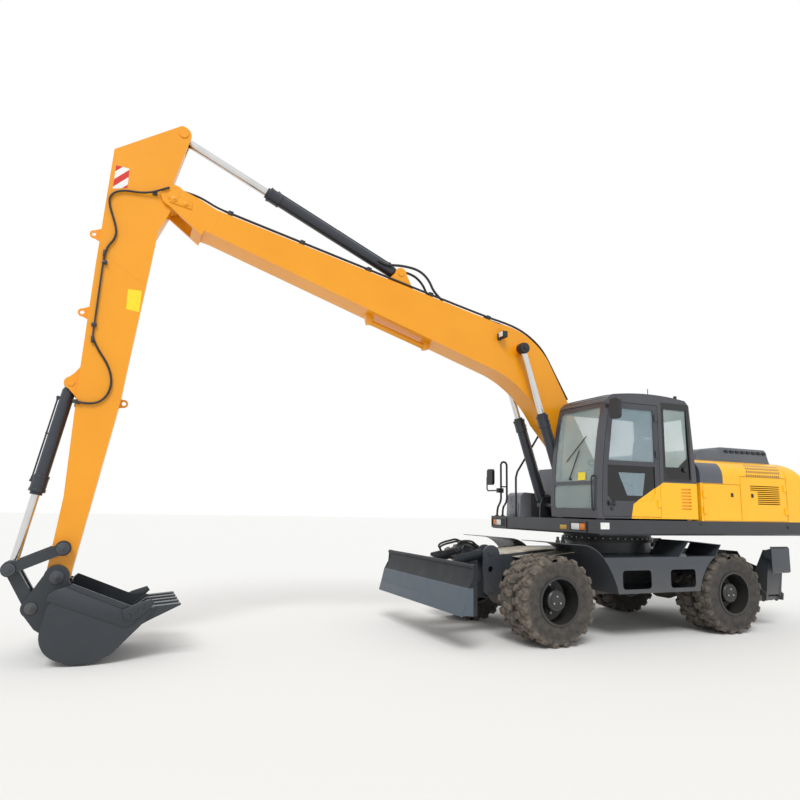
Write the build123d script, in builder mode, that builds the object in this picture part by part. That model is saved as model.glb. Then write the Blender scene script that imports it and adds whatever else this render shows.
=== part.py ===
from build123d import *
import os
from math import atan2, cos, degrees, hypot, radians, sin, sqrt

os.makedirs("parts", exist_ok=True)

# A 21 tonne wheeled excavator on twin tyres, in millimetres.
# X points forward to the bucket, Y to the left, Z up, and the tyres stand on Z = 0.
# Every X below is measured forward from the slewing axis, which stands at slew_x.
slew_x = -2380

# Wheels: twin tyres on four hubs
wheel_base = 2800
front_axle_x = 1750
rear_axle_x = front_axle_x - wheel_base
tyre_radius = 515
tyre_width = 262
tread_width = 224
lug_depth = 26
lugs_per_row = 15
lug_share = 0.62
widest_radius = 372
dual_spacing = 310
twin_centre_y = 955
rim_radius = 262
rim_wall = 9
rim_width = 216
flange_radius = 281
flange_width = 12
disc_wall = 16
hub_radius = 126
hub_face_y = 1166
spindle_radius = 60
running_gap = 0.3

# Steering: king pins, and a double-ended cylinder across the axle
king_pin_y = 560
king_pin_radius = 46
king_pin_depth = 48
knuckle_radius = 84
knuckle_height = 236
yoke_wall = 36
yoke_gap = 5
steer_arm = 190
steer_rod_radius = 22

# Chassis
frame_half_width = 350
frame_top_z = 1040
frame_arch_z = tyre_radius + 205
frame_wall = 14
ring_radius = 630
turret_radius = 590
step_outer_y = 1205
step_top_z = 1000
step_bottom_z = 566
sheet = 8

# Blade and its bracket
bracket_outer_y = 372
bracket_inner_y = 214
bracket_wall = 28
blade_width = 2450
blade_pin = (2165, 560)
blade_cylinder_pin = (2170, 1010)
blade_rod_pin = (2800, 880)

# Stabilizers
stabilizer_front_x = -1850
stabilizer_rear_x = -2200
leg_pin = (985, 410)
leg_top = (1075, 1020)
leg_pin_radius = 34
stabilizer_cylinder_pin = (250, 930)
leg_rod_pin = (930, 735)
leg_rod_radius = 28

# Tie-down lugs behind the stabilizers, and lifting eyes on the stick
tie_down = (stabilizer_rear_x - 56, 520)
tie_down_y = 300
tie_down_wall = 30
tie_down_radius = 30
lifting_eye_radius = 22
lifting_eye_wall = 25

# House
deck_bottom_z = 1265
deck_top_z = 1455
house_half_width = 1245
house_front_x = 1175
tail_radius = 2780
counterweight_front_x = 600 - tail_radius
body_front_x = -520
body_top_z = 2300
body_shoulder_z = 2120
body_wall = 30
door_gap = 6

# Cab
cab_left_y = house_half_width - 13
cab_right_y = 297
cab_rear_x = -470
cab_wall = 42
cab_bottom_z = 1475

# Front equipment: the boom's middle plane, and the pins seen from the left (X, Z)
boom_y = -75
boom_half_width = 180
boom_plate = 14
stick_half_width = 140
stick_plate = 12
bucket_half_width = 530
boom_foot = (300, 2050)
boom_tip = (6240, 5065)
boom_rod_pin = (1545, 3765)
boom_cylinder_pin = (840, 1620)
arm_cylinder_pin = (3330, 4625)
stick_nose = (6180, 5885)
bucket_cylinder_pin = (7105, 2795)
rocker_pin = (7010, 1083)
common_pin = (7465, 885)
link_pin = (7245, 505)
bucket_pin = (7045, 800)
boom_cylinder_offset = 285


def side(y=0):
    """A plane seen from the right: local x forward, local y up, extruding to the right."""
    return Plane(origin=(slew_x, y, 0), x_dir=(1, 0, 0), z_dir=(0, -1, 0))


def level(z):
    """A plane seen from above: local x forward, local y to the left."""
    return Plane(origin=(slew_x, 0, z), x_dir=(1, 0, 0), z_dir=(0, 0, 1))


def cross(x):
    """A plane seen from the front: local x to the left, local y up, extruding forward."""
    return Plane(origin=(slew_x + x, 0, 0), x_dir=(0, 1, 0), z_dir=(1, 0, 0))


def outline(points):
    """Closes straight runs between the points into a face of the open sketch."""
    with BuildLine() as edge:
        Polyline(*points, close=True)
    make_face(edge.edges())


def across(centre, radius, y_from, y_to, mode=Mode.ADD):
    """A round bar, or a bore, along Y between two stations."""
    with BuildSketch(side(max(y_from, y_to))) as section:
        with Locations(centre):
            Circle(radius)
    extrude(section.sketch, amount=abs(y_to - y_from), mode=mode)


def block(x_range, y_range, z_range, mode=Mode.ADD):
    """A square block between two stations along each direction."""
    with BuildSketch(level(z_range[0])) as section:
        with Locations(((x_range[0] + x_range[1]) / 2, (y_range[0] + y_range[1]) / 2)):
            Rectangle(x_range[1] - x_range[0], y_range[1] - y_range[0])
    extrude(section.sketch, amount=z_range[1] - z_range[0], mode=mode)


def along(start, end, part):
    """The point of the plane of the arm that lies part of the way from start to end."""
    return (start[0] + (end[0] - start[0]) * part, start[1] + (end[1] - start[1]) * part)


def pipe(points, radius, plane):
    """An eight-sided tube with mitred bends, along a route drawn on a plane."""
    with BuildLine(plane) as route:
        Polyline(*points)
    path = route.wires()[0]
    with BuildSketch(Plane(origin=path @ 0, z_dir=path % 0)) as section:
        RegularPolygon(radius, 8)
    sweep(section.sketch, path=path, transition=Transition.RIGHT)


def arm_plane(start, end, y):
    """A side plane whose local x runs from start to end, for cylinders and links."""
    angle = degrees(atan2(end[1] - start[1], end[0] - start[0]))
    origin = (slew_x + start[0], y, start[1])
    return Plane(origin=origin, x_dir=(cos(radians(angle)), 0, sin(radians(angle))), z_dir=(0, -1, 0))


# Tyre: a carcass of flat facets, with two staggered rows of lugs that reach the ground
lug_pitch = 360 / lugs_per_row
tread_root = tyre_radius - lug_depth
# The edges of two lugs lie lowest, a little to each side of the line below the axle
lug_tip = tyre_radius / cos(radians((lug_share / 2 - 0.25) * lug_pitch))
half_section = (
    # distance from the middle plane, radius of the corners
    (0, tread_root), (tread_width / 2, tread_root), (tyre_width / 2, widest_radius),
    (rim_width / 2, flange_radius + 10),
)


def tyre_ring(offset_y):
    """A plane across the axle of a tyre that stands at the origin, seen from its right."""
    return Plane(origin=(0, offset_y, tyre_radius), x_dir=(1, 0, 0), z_dir=(0, -1, 0))


with BuildPart() as tyre:
    for hand in (1, -1):
        for offset_y, radius in half_section:
            with BuildSketch(tyre_ring(hand * offset_y)):
                RegularPolygon(radius, lugs_per_row, rotation=-90 + (hand / 4 + 0.5) * lug_pitch)
        loft(ruled=True)
        corners = []
        for lug in range(lugs_per_row):
            for share, radius in ((-0.5, tread_root), (-lug_share / 2, lug_tip), (lug_share / 2, lug_tip)):
                angle = radians((lug + share + hand / 4) * lug_pitch - 90)
                corners.append((radius * cos(angle), radius * sin(angle)))
        with BuildSketch(tyre_ring(0)):
            outline(corners)
            RegularPolygon(widest_radius, lugs_per_row, mode=Mode.SUBTRACT)
        extrude(amount=-hand * tread_width / 2)
    with BuildSketch(tyre_ring(tyre_width)):
        RegularPolygon(rim_radius, lugs_per_row, major_radius=False)
    extrude(amount=2 * tyre_width, mode=Mode.SUBTRACT)


# Twin rims of one hub, joined by the spacer band, with the dished disc and the drum of the hub
def twin_rims(axle_x, hand):
    axis = Axis((slew_x + axle_x, 0, tyre_radius), (0, 1, 0))
    plane = Plane(origin=(slew_x + axle_x, 0, tyre_radius), x_dir=(0, 1, 0), z_dir=(1, 0, 0))
    inner_y = twin_centre_y - dual_spacing / 2
    outer_y = twin_centre_y + dual_spacing / 2
    start = inner_y - rim_width / 2
    end = outer_y + rim_width / 2
    bore_end = twin_centre_y + 60
    with BuildPart() as rims:
        with BuildSketch(plane):
            outline([(hand * start, rim_radius - rim_wall), (hand * end, rim_radius - rim_wall),
                     (hand * end, rim_radius), (hand * start, rim_radius)])
            for edge in (start, inner_y + rim_width / 2, outer_y - rim_width / 2, end):
                out = -1 if edge in (start, outer_y - rim_width / 2) else 1
                outline([(hand * edge, rim_radius - rim_wall),
                         (hand * (edge + out * flange_width), rim_radius - rim_wall),
                         (hand * (edge + out * flange_width), flange_radius),
                         (hand * edge, flange_radius)])
            outline([(hand * (twin_centre_y - 10), rim_radius - rim_wall / 2),
                     (hand * (twin_centre_y - 60), hub_radius - 4),
                     (hand * (twin_centre_y - 60 + disc_wall + 4), hub_radius - 4),
                     (hand * (twin_centre_y + disc_wall - 6), rim_radius - rim_wall / 2)])
            outline([(hand * (inner_y - 60), spindle_radius + running_gap),
                     (hand * (inner_y - 60), hub_radius + 34), (hand * inner_y, hub_radius + 34),
                     (hand * (inner_y + 30), hub_radius),
                     (hand * (hub_face_y - 12), hub_radius), (hand * hub_face_y, hub_radius - 14),
                     (hand * hub_face_y, 0), (hand * bore_end, 0),
                     (hand * bore_end, spindle_radius + running_gap)])
        revolve(axis=axis)
    return rims.part


wheels = (
    # name, axle, hand
    ("front_left", front_axle_x, 1),
    ("front_right", front_axle_x, -1),
    ("rear_left", rear_axle_x, 1),
    ("rear_right", rear_axle_x, -1),
)
for name, axle_x, hand in wheels:
    pair = []
    for place in (-1, 1):
        centre_y = hand * (twin_centre_y + place * dual_spacing / 2)
        pair.append(tyre.part.moved(Location((slew_x + axle_x, centre_y, 0))))
    tyres = Compound(label="tyres_" + name, children=pair)
    export_step(tyres, "parts/tyres_" + name + ".step")
    rims = twin_rims(axle_x, hand)
    rims.label = "rims_" + name
    export_step(rims, "parts/rims_" + name + ".step")


# Axles: a tube with the gear housing in the middle, flanged to the frame
def axle_tube(axle_x, half_length):
    axis = Axis((slew_x + axle_x, 0, tyre_radius), (0, 1, 0))
    plane = Plane(origin=(slew_x + axle_x, 0, tyre_radius), x_dir=(0, 1, 0), z_dir=(1, 0, 0))
    with BuildSketch(plane) as section:
        outline([(-half_length, 0), (-half_length, 88), (-250, 110), (-190, 168), (-90, 205), (90, 205),
                 (190, 168), (250, 110), (half_length, 88), (half_length, 0)])
    revolve(section.sketch, axis=axis)
    # Pads that bolt up to the frame
    for hand in (1, -1):
        block((axle_x - 90, axle_x + 90), (hand * 280 - 50, hand * 280 + 50), (tyre_radius + 60, frame_arch_z))


with BuildPart() as front_axle:
    axle_tube(front_axle_x, king_pin_y - knuckle_radius - 20)
    # Yokes that hold each knuckle from above and below
    for hand in (1, -1):
        root_y = king_pin_y - knuckle_radius - 60
        with BuildSketch(level(tyre_radius - knuckle_height / 2 - yoke_gap - yoke_wall)):
            with Locations((front_axle_x, hand * king_pin_y)):
                Circle(knuckle_radius)
            with Locations((front_axle_x, hand * (king_pin_y + root_y) / 2)):
                Rectangle(2 * knuckle_radius, king_pin_y - root_y)
        extrude(amount=yoke_wall)
        with BuildSketch(level(tyre_radius + knuckle_height / 2 + yoke_gap)):
            with Locations((front_axle_x, hand * king_pin_y)):
                Circle(knuckle_radius)
            with Locations((front_axle_x, hand * (king_pin_y + root_y) / 2)):
                Rectangle(2 * knuckle_radius, king_pin_y - root_y)
        extrude(amount=yoke_wall)
        block((front_axle_x - knuckle_radius, front_axle_x + knuckle_radius),
              (hand * (root_y - 20) - 28, hand * (root_y - 20) + 28),
              (tyre_radius - knuckle_height / 2 - yoke_gap - yoke_wall,
               tyre_radius + knuckle_height / 2 + yoke_gap + yoke_wall))
        # King pins, upper and lower
        for start in (tyre_radius - knuckle_height / 2 - yoke_gap - yoke_wall,
                      tyre_radius + knuckle_height / 2 - king_pin_depth):
            with BuildSketch(level(start)):
                with Locations((front_axle_x, hand * king_pin_y)):
                    Circle(king_pin_radius)
            extrude(amount=king_pin_depth + yoke_gap + yoke_wall)
    # Barrel of the steering cylinder, on the rear face of the housing
    steer_x = front_axle_x - steer_arm
    across((steer_x, tyre_radius), 46, -190, 190)
    across((steer_x, tyre_radius), steer_rod_radius + running_gap, -200, 200, mode=Mode.SUBTRACT)
front_axle.part.label = "front_axle"
export_step(front_axle.part, "parts/front_axle.step")

with BuildPart() as steering_rod:
    across((steer_x, tyre_radius), steer_rod_radius, -king_pin_y, king_pin_y)
    for hand in (1, -1):
        with BuildSketch(level(tyre_radius - steer_rod_radius)):
            with Locations((steer_x, hand * king_pin_y)):
                Circle(34)
        extrude(amount=2 * steer_rod_radius)
steering_rod.part.label = "steering_rod"
export_step(steering_rod.part, "parts/steering_rod.step")

# Knuckles: a barrel on the king pin, the spindle that carries the hub, and the steering arm
for hand, name in ((1, "knuckle_left"), (-1, "knuckle_right")):
    with BuildPart() as knuckle:
        with BuildSketch(level(tyre_radius - knuckle_height / 2)):
            with Locations((front_axle_x, hand * king_pin_y)):
                Circle(knuckle_radius)
        extrude(amount=knuckle_height)
        inner, outer = hand * king_pin_y, hand * (twin_centre_y - dual_spacing / 2 - 62)
        across((front_axle_x, tyre_radius), hub_radius + 20, outer - hand * 50, outer)
        across((front_axle_x, tyre_radius), 78, inner, outer)
        across((front_axle_x, tyre_radius), spindle_radius, outer, hand * (twin_centre_y + 40))
        # Steering arm, reaching back beside the end of the steering rod
        eye_top = tyre_radius - steer_rod_radius - running_gap
        block((steer_x, front_axle_x), (hand * king_pin_y - 26, hand * king_pin_y + 26),
              (eye_top - 74, eye_top - 34))
        with BuildSketch(level(eye_top - 74)):
            with Locations((steer_x, hand * king_pin_y)):
                Circle(38)
        extrude(amount=74)
        for start in (tyre_radius - knuckle_height / 2 - 1, tyre_radius + knuckle_height / 2 - king_pin_depth - 1):
            with BuildSketch(level(start)):
                with Locations((front_axle_x, hand * king_pin_y)):
                    Circle(king_pin_radius + running_gap)
            extrude(amount=king_pin_depth + 2, mode=Mode.SUBTRACT)
    knuckle.part.label = name
    export_step(knuckle.part, "parts/" + name + ".step")

with BuildPart() as rear_axle:
    axle_tube(rear_axle_x, twin_centre_y - dual_spacing / 2 - 62)
    for hand in (1, -1):
        spindle_start = hand * (twin_centre_y - dual_spacing / 2 - 64)
        across((rear_axle_x, tyre_radius), spindle_radius, spindle_start, hand * (twin_centre_y + 40))
        across((rear_axle_x, tyre_radius), hub_radius + 20, spindle_start - hand * 48,
               spindle_start + hand * 2)
rear_axle.part.label = "rear_axle"
export_step(rear_axle.part, "parts/rear_axle.step")

# Chassis frame: a box with arches over the axles, the turret under the slewing ring,
# the plates that carry the blade and the channel that carries the stabilizers
frame_front_x = 2060
frame_rear_x = stabilizer_front_x
with BuildPart() as chassis_frame:
    with BuildSketch(side(frame_half_width)):
        outline([(frame_front_x, frame_top_z - 60), (frame_front_x, 470), (frame_front_x - 20, 470),
                 (frame_front_x - 80, frame_arch_z), (front_axle_x - 460, frame_arch_z), (1080, 450),
                 (-430, 450), (rear_axle_x + 360, frame_arch_z), (rear_axle_x - 380, frame_arch_z),
                 (frame_rear_x + 60, 600), (frame_rear_x, 600), (frame_rear_x, 960), (-1000, frame_top_z),
                 (1300, frame_top_z)])
    extrude(amount=2 * frame_half_width)
    with BuildSketch(side(frame_half_width - frame_wall)):
        outline([(frame_front_x - 30, frame_top_z - 80), (frame_front_x - 100, frame_arch_z + 20),
                 (front_axle_x - 480, frame_arch_z + 20), (1080, 470), (-430, 470),
                 (rear_axle_x + 340, frame_arch_z + 20), (rear_axle_x - 380, frame_arch_z + 20),
                 (frame_rear_x + 30, 640), (frame_rear_x + 30, 940), (-1000, frame_top_z - 20),
                 (1300, frame_top_z - 20)])
    extrude(amount=2 * (frame_half_width - frame_wall), mode=Mode.SUBTRACT)
    # Turret that carries the ring
    with BuildSketch(level(frame_top_z - 120)):
        Circle(turret_radius)
    extrude(amount=220)
    with BuildSketch(level(frame_top_z - 130)):
        Circle(ring_radius - 240)
    extrude(amount=240, mode=Mode.SUBTRACT)
    # Outriggers of the frame that carry the steps
    for x in (820, -400):
        block((x - 60, x + 60), (-step_outer_y + 30, step_outer_y - 30), (850, step_top_z - sheet - running_gap))
        block((x - 61, x + 61), (-frame_half_width + frame_wall, frame_half_width - frame_wall),
              (800, step_top_z), mode=Mode.SUBTRACT)
    # Blade brackets: two pairs of plates, with a long round head
    for hand in (1, -1):
        for plate_y in (bracket_outer_y, bracket_inner_y):
            y_near = hand * plate_y if hand > 0 else hand * (plate_y - bracket_wall)
            with BuildSketch(side(y_near)):
                with BuildLine():
                    Polyline((frame_front_x - 60, 480), (blade_pin[0], 480 - 10),
                             (blade_pin[0] + 95, blade_pin[1] - 30), (blade_pin[0] + 105, 960))
                    ThreePointArc((blade_pin[0] + 105, 960), (blade_cylinder_pin[0], 1105),
                                  (frame_front_x - 25, 1000))
                    Polyline((frame_front_x - 25, 1000), (frame_front_x - 60, 960),
                             (frame_front_x - 60, 480))
                make_face()
                with Locations((blade_pin[0], 810)):
                    Circle(38, mode=Mode.SUBTRACT)
            extrude(amount=bracket_wall)
        for pin, radius in ((blade_pin, 38), (blade_cylinder_pin, 34)):
            across(pin, radius, hand * (bracket_inner_y - bracket_wall), hand * (bracket_outer_y + 12))
chassis_frame.part.label = "chassis_frame"
export_step(chassis_frame.part, "parts/chassis_frame.step")

# Slewing ring: the toothed race below and the race of the house above, with two rows of bolts
with BuildPart() as slewing_ring:
    with BuildSketch(level(frame_top_z + 100)):
        Circle(ring_radius)
        Circle(ring_radius - 150, mode=Mode.SUBTRACT)
    extrude(amount=44)
    with BuildSketch(level(frame_top_z + 144)):
        Circle(ring_radius - 26)
        Circle(ring_radius - 150, mode=Mode.SUBTRACT)
    extrude(amount=deck_bottom_z - running_gap - frame_top_z - 144)
slewing_ring.part.label = "slewing_ring"
export_step(slewing_ring.part, "parts/slewing_ring.step")

# Side steps: a box on each side with two foot openings, whose ends rise as the fenders
step_depth = step_outer_y - frame_half_width - 2
front_foot, rear_foot = (868, step_bottom_z), (-468, step_bottom_z)
front_top, rear_top = (1090, step_top_z), (-770, step_top_z)
front_mid, rear_mid = (955, 800), (-560, 800)
wing_top_z = 1200
with BuildPart() as side_step_left:
    with BuildSketch(side(step_outer_y)):
        with BuildLine():
            ThreePointArc(front_foot, front_mid, front_top)
            Line(front_top, rear_top)
            ThreePointArc(rear_top, rear_mid, rear_foot)
            Line(rear_foot, front_foot)
        make_face()
    extrude(amount=step_depth)
    # Hollow, and open towards the frame
    with BuildSketch(side(step_outer_y - sheet)):
        outline([(front_foot[0] - sheet, front_foot[1] + sheet), (front_mid[0] - sheet, front_mid[1]),
                 (front_top[0] - 2 * sheet, front_top[1] - sheet),
                 (rear_top[0] + 2 * sheet, rear_top[1] - sheet),
                 (rear_mid[0] + sheet, rear_mid[1]), (rear_foot[0] + sheet, rear_foot[1] + sheet)])
    extrude(amount=step_depth, mode=Mode.SUBTRACT)
    # Foot openings in the outer wall
    with BuildSketch(side(step_outer_y + 1)):
        for x_from, x_to in ((344, 801), (-399, 27)):
            with Locations(((x_from + x_to) / 2, 730)):
                RectangleRounded(x_to - x_from, 226, 46)
    extrude(amount=sheet + 2, mode=Mode.SUBTRACT)
    # Front fender: the front wall goes on as an arc over the wheel
    with BuildSketch(side(step_outer_y)):
        with BuildLine():
            ThreePointArc(front_top, (1240, 1110), (1420, 1150))
            Line((1420, 1150), (1690, 1165))
            Line((1690, 1165), (1690, 1165 + sheet))
            Line((1690, 1165 + sheet), (1420, 1150 + sheet))
            ThreePointArc((1420, 1150 + sheet), (1234, 1110 + sheet), (front_top[0] - sheet, front_top[1]))
            Line((front_top[0] - sheet, front_top[1]), front_top)
        make_face()
    extrude(amount=step_depth)
    # Rear fender: the rear wall goes on up, and a wing lies over it
    with BuildSketch(side(step_outer_y)):
        outline([rear_top, (-880, 1150), (-300, wing_top_z), (-120, step_top_z), (-136, step_top_z),
                 (-306, wing_top_z - sheet), (-862, 1150 - sheet), (rear_top[0] + sheet, rear_top[1])])
    extrude(amount=step_outer_y - 700)
    # Room for the turret of the frame
    with BuildSketch(level(frame_top_z - 140)):
        Circle(turret_radius + 3)
    extrude(amount=300, mode=Mode.SUBTRACT)
side_step_left.part.label = "side_step_left"
export_step(side_step_left.part, "parts/side_step_left.step")

with BuildPart() as side_step_right:
    mirror(side_step_left.part, about=Plane.XZ)
side_step_right.part.label = "side_step_right"
export_step(side_step_right.part, "parts/side_step_right.step")


# A hydraulic cylinder between two pins: the barrel with its base eye and head
def barrel(base, eye, y, length, radius, bore, eye_half_width, eye_radius):
    plane = arm_plane(base, eye, y)
    axis = Axis(plane.origin, plane.x_dir)
    with BuildSketch(plane) as section:
        outline([(eye_radius * 0.5, 0), (eye_radius * 0.5, radius * 0.7), (eye_radius + 12, radius),
                 (length - 150, radius), (length - 150, radius + 11), (length, radius + 11),
                 (length, bore + running_gap), (eye_radius + 60, bore + running_gap), (eye_radius + 60, 0)])
    revolve(section.sketch, axis=axis)
    across(base, eye_radius, y - eye_half_width, y + eye_half_width)


# The rod with its eye and pin, which slides in the barrel
def rod(base, eye, y, start, bore, eye_half_width, eye_radius, pin_radius, pin_half_width):
    plane = arm_plane(base, eye, y)
    axis = Axis(plane.origin, plane.x_dir)
    length = hypot(eye[0] - base[0], eye[1] - base[1])
    with BuildSketch(plane) as section:
        outline([(start, 0), (start, bore), (length - eye_radius * 0.6, bore), (length - eye_radius * 0.6, 0)])
    revolve(section.sketch, axis=axis)
    across(eye, eye_radius, y - eye_half_width, y + eye_half_width)
    across(eye, pin_radius, y - pin_half_width, y + pin_half_width)


def bore_hole(centre, radius, y, half_width):
    """A cross hole for a pin, a little wider than the eye that it passes through."""
    across(centre, radius, y - half_width - 1, y + half_width + 1, mode=Mode.SUBTRACT)


# Blade: a curved board of plate with end plates, and the push frame that carries it
blade_top, blade_crease, blade_foot = (2893, 937), (2965, 690), (3030, 415)
blade_ear_in = 40
with BuildPart() as blade:
    with BuildSketch(side(blade_width / 2)):
        with BuildLine():
            ThreePointArc(blade_top, (2905, 800), blade_crease)
            Polyline(blade_crease, blade_foot, (3005, 408), (2930, 690), (2868, 800), (2868, 937), blade_top)
        make_face()
        with Locations((2881, 925)):
            Circle(26)
    extrude(amount=blade_width)
    for hand in (1, -1):
        with BuildSketch(side(hand * blade_width / 2 if hand > 0 else -blade_width / 2 + 16)):
            outline([(2893, 937), (2905, 800), (2965, 690), (3030, 415), (2850, 400), (2850, 950)])
        extrude(amount=16)
        # Push arm from the pin to the back of the board
        arm_y = (bracket_outer_y + bracket_inner_y - bracket_wall) / 2
        arm_half = (bracket_outer_y - bracket_inner_y - bracket_wall) / 2 - 6
        with BuildSketch(side(hand * arm_y + arm_half)):
            outline([(blade_pin[0], blade_pin[1] + 85), (blade_pin[0], blade_pin[1] - 85), (2870, 430),
                     (2980, 440), (2905, 700), (2880, 720)])
            with Locations(blade_pin):
                Circle(85)
        extrude(amount=2 * arm_half)
        across(blade_pin, 38 + running_gap, hand * arm_y - arm_half - 1, hand * arm_y + arm_half + 1,
               mode=Mode.SUBTRACT)
        # Ears of the cylinder's rod, at the back of the board
        for ear in (-1, 1):
            with BuildSketch(side(hand * arm_y + ear * (blade_ear_in + 12) + 12)):
                outline([(2875, 950), (blade_rod_pin[0] - 20, blade_rod_pin[1] + 46),
                         (blade_rod_pin[0] - 40, blade_rod_pin[1] - 40), (2890, 740)])
                with Locations(blade_rod_pin):
                    Circle(46)
            extrude(amount=24)
    # Cross beam behind the board
    with BuildSketch(side(1000)):
        outline([(2870, 640), (2780, 640), (2780, 520), (2900, 480), (2975, 560), (2930, 660)])
    extrude(amount=2000)
blade.part.label = "blade"
export_step(blade.part, "parts/blade.step")

with BuildPart() as blade_barrels:
    for hand in (1, -1):
        barrel(blade_cylinder_pin, blade_rod_pin, hand * arm_y, 500, 58, 34, 48, 56)
        bore_hole(blade_cylinder_pin, 34 + running_gap, hand * arm_y, 60)
blade_barrels.part.label = "blade_barrels"
export_step(blade_barrels.part, "parts/blade_barrels.step")

with BuildPart() as blade_rods:
    for hand in (1, -1):
        rod(blade_cylinder_pin, blade_rod_pin, hand * arm_y, 180, 34, 34, 44, 24, blade_ear_in - running_gap)
blade_rods.part.label = "blade_rods"
export_step(blade_rods.part, "parts/blade_rods.step")

# Stabilizers: a channel across the rear frame, with a leg, a pad and a cylinder on each side
with BuildPart() as stabilizer_frame:
    wall = 22
    with BuildSketch(cross(stabilizer_rear_x)):
        outline([(-leg_pin[0] - 70, leg_pin[1] - 60), (leg_pin[0] + 70, leg_pin[1] - 60),
                 (leg_pin[0] + 85, leg_pin[1] + 50), (leg_pin[0] - 40, 560), (600, 640), (350, 1000),
                 (-350, 1000), (-600, 640), (-leg_pin[0] + 40, 560), (-leg_pin[0] - 85, leg_pin[1] + 50)])
    extrude(amount=stabilizer_front_x - stabilizer_rear_x)
    block((stabilizer_rear_x + wall, stabilizer_front_x - wall), (-1200, 1200), (leg_pin[1] - 38, 1100),
          mode=Mode.SUBTRACT)
    block((stabilizer_rear_x + wall, stabilizer_front_x - wall), (-120, 120), (leg_pin[1] - 60, 900))
    for hand in (1, -1):
        block((stabilizer_rear_x - 1, stabilizer_front_x + 1),
              (hand * 1012 - 112, hand * 1012 + 112), (leg_pin[1] - 80, leg_pin[1] - 37), mode=Mode.SUBTRACT)
        for pin, radius, front_head in ((leg_pin, leg_pin_radius, 14), (stabilizer_cylinder_pin, 34, 0)):
            with BuildSketch(cross(stabilizer_rear_x - 14)):
                with Locations((hand * pin[0], pin[1])):
                    Circle(radius)
            extrude(amount=stabilizer_front_x - stabilizer_rear_x + 14 + front_head)
stabilizer_frame.part.label = "stabilizer_frame"
export_step(stabilizer_frame.part, "parts/stabilizer_frame.step")

# Lugs for the chains that tie the machine down, welded to the rear face of the channel
with BuildPart() as tie_down_lugs:
    for hand in (1, -1):
        with BuildSketch(side(hand * tie_down_y + tie_down_wall / 2)):
            outline([(stabilizer_rear_x, tie_down[1] + 85), (tie_down[0] - 10, tie_down[1] + 50),
                     (tie_down[0] - 10, tie_down[1] - 50), (stabilizer_rear_x, tie_down[1] - 85)])
            with Locations(tie_down):
                Circle(tie_down_radius + 25)
                Circle(tie_down_radius, mode=Mode.SUBTRACT)
        extrude(amount=tie_down_wall)
tie_down_lugs.part.label = "tie_down_lugs"
export_step(tie_down_lugs.part, "parts/tie_down_lugs.step")

mid_x = (stabilizer_front_x + stabilizer_rear_x) / 2
leg_half = (stabilizer_front_x - stabilizer_rear_x) / 2 - 22 - 6
leg_ear = 30
pad_pin_radius = 20


def cross_arm_plane(start, end, x, hand):
    """A plane across the machine whose local x runs from start to end."""
    angle = atan2(end[1] - start[1], end[0] - start[0])
    return Plane(origin=(slew_x + x, hand * start[0], start[1]),
                 x_dir=(0, hand * cos(angle), sin(angle)), z_dir=(1, 0, 0))


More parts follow.
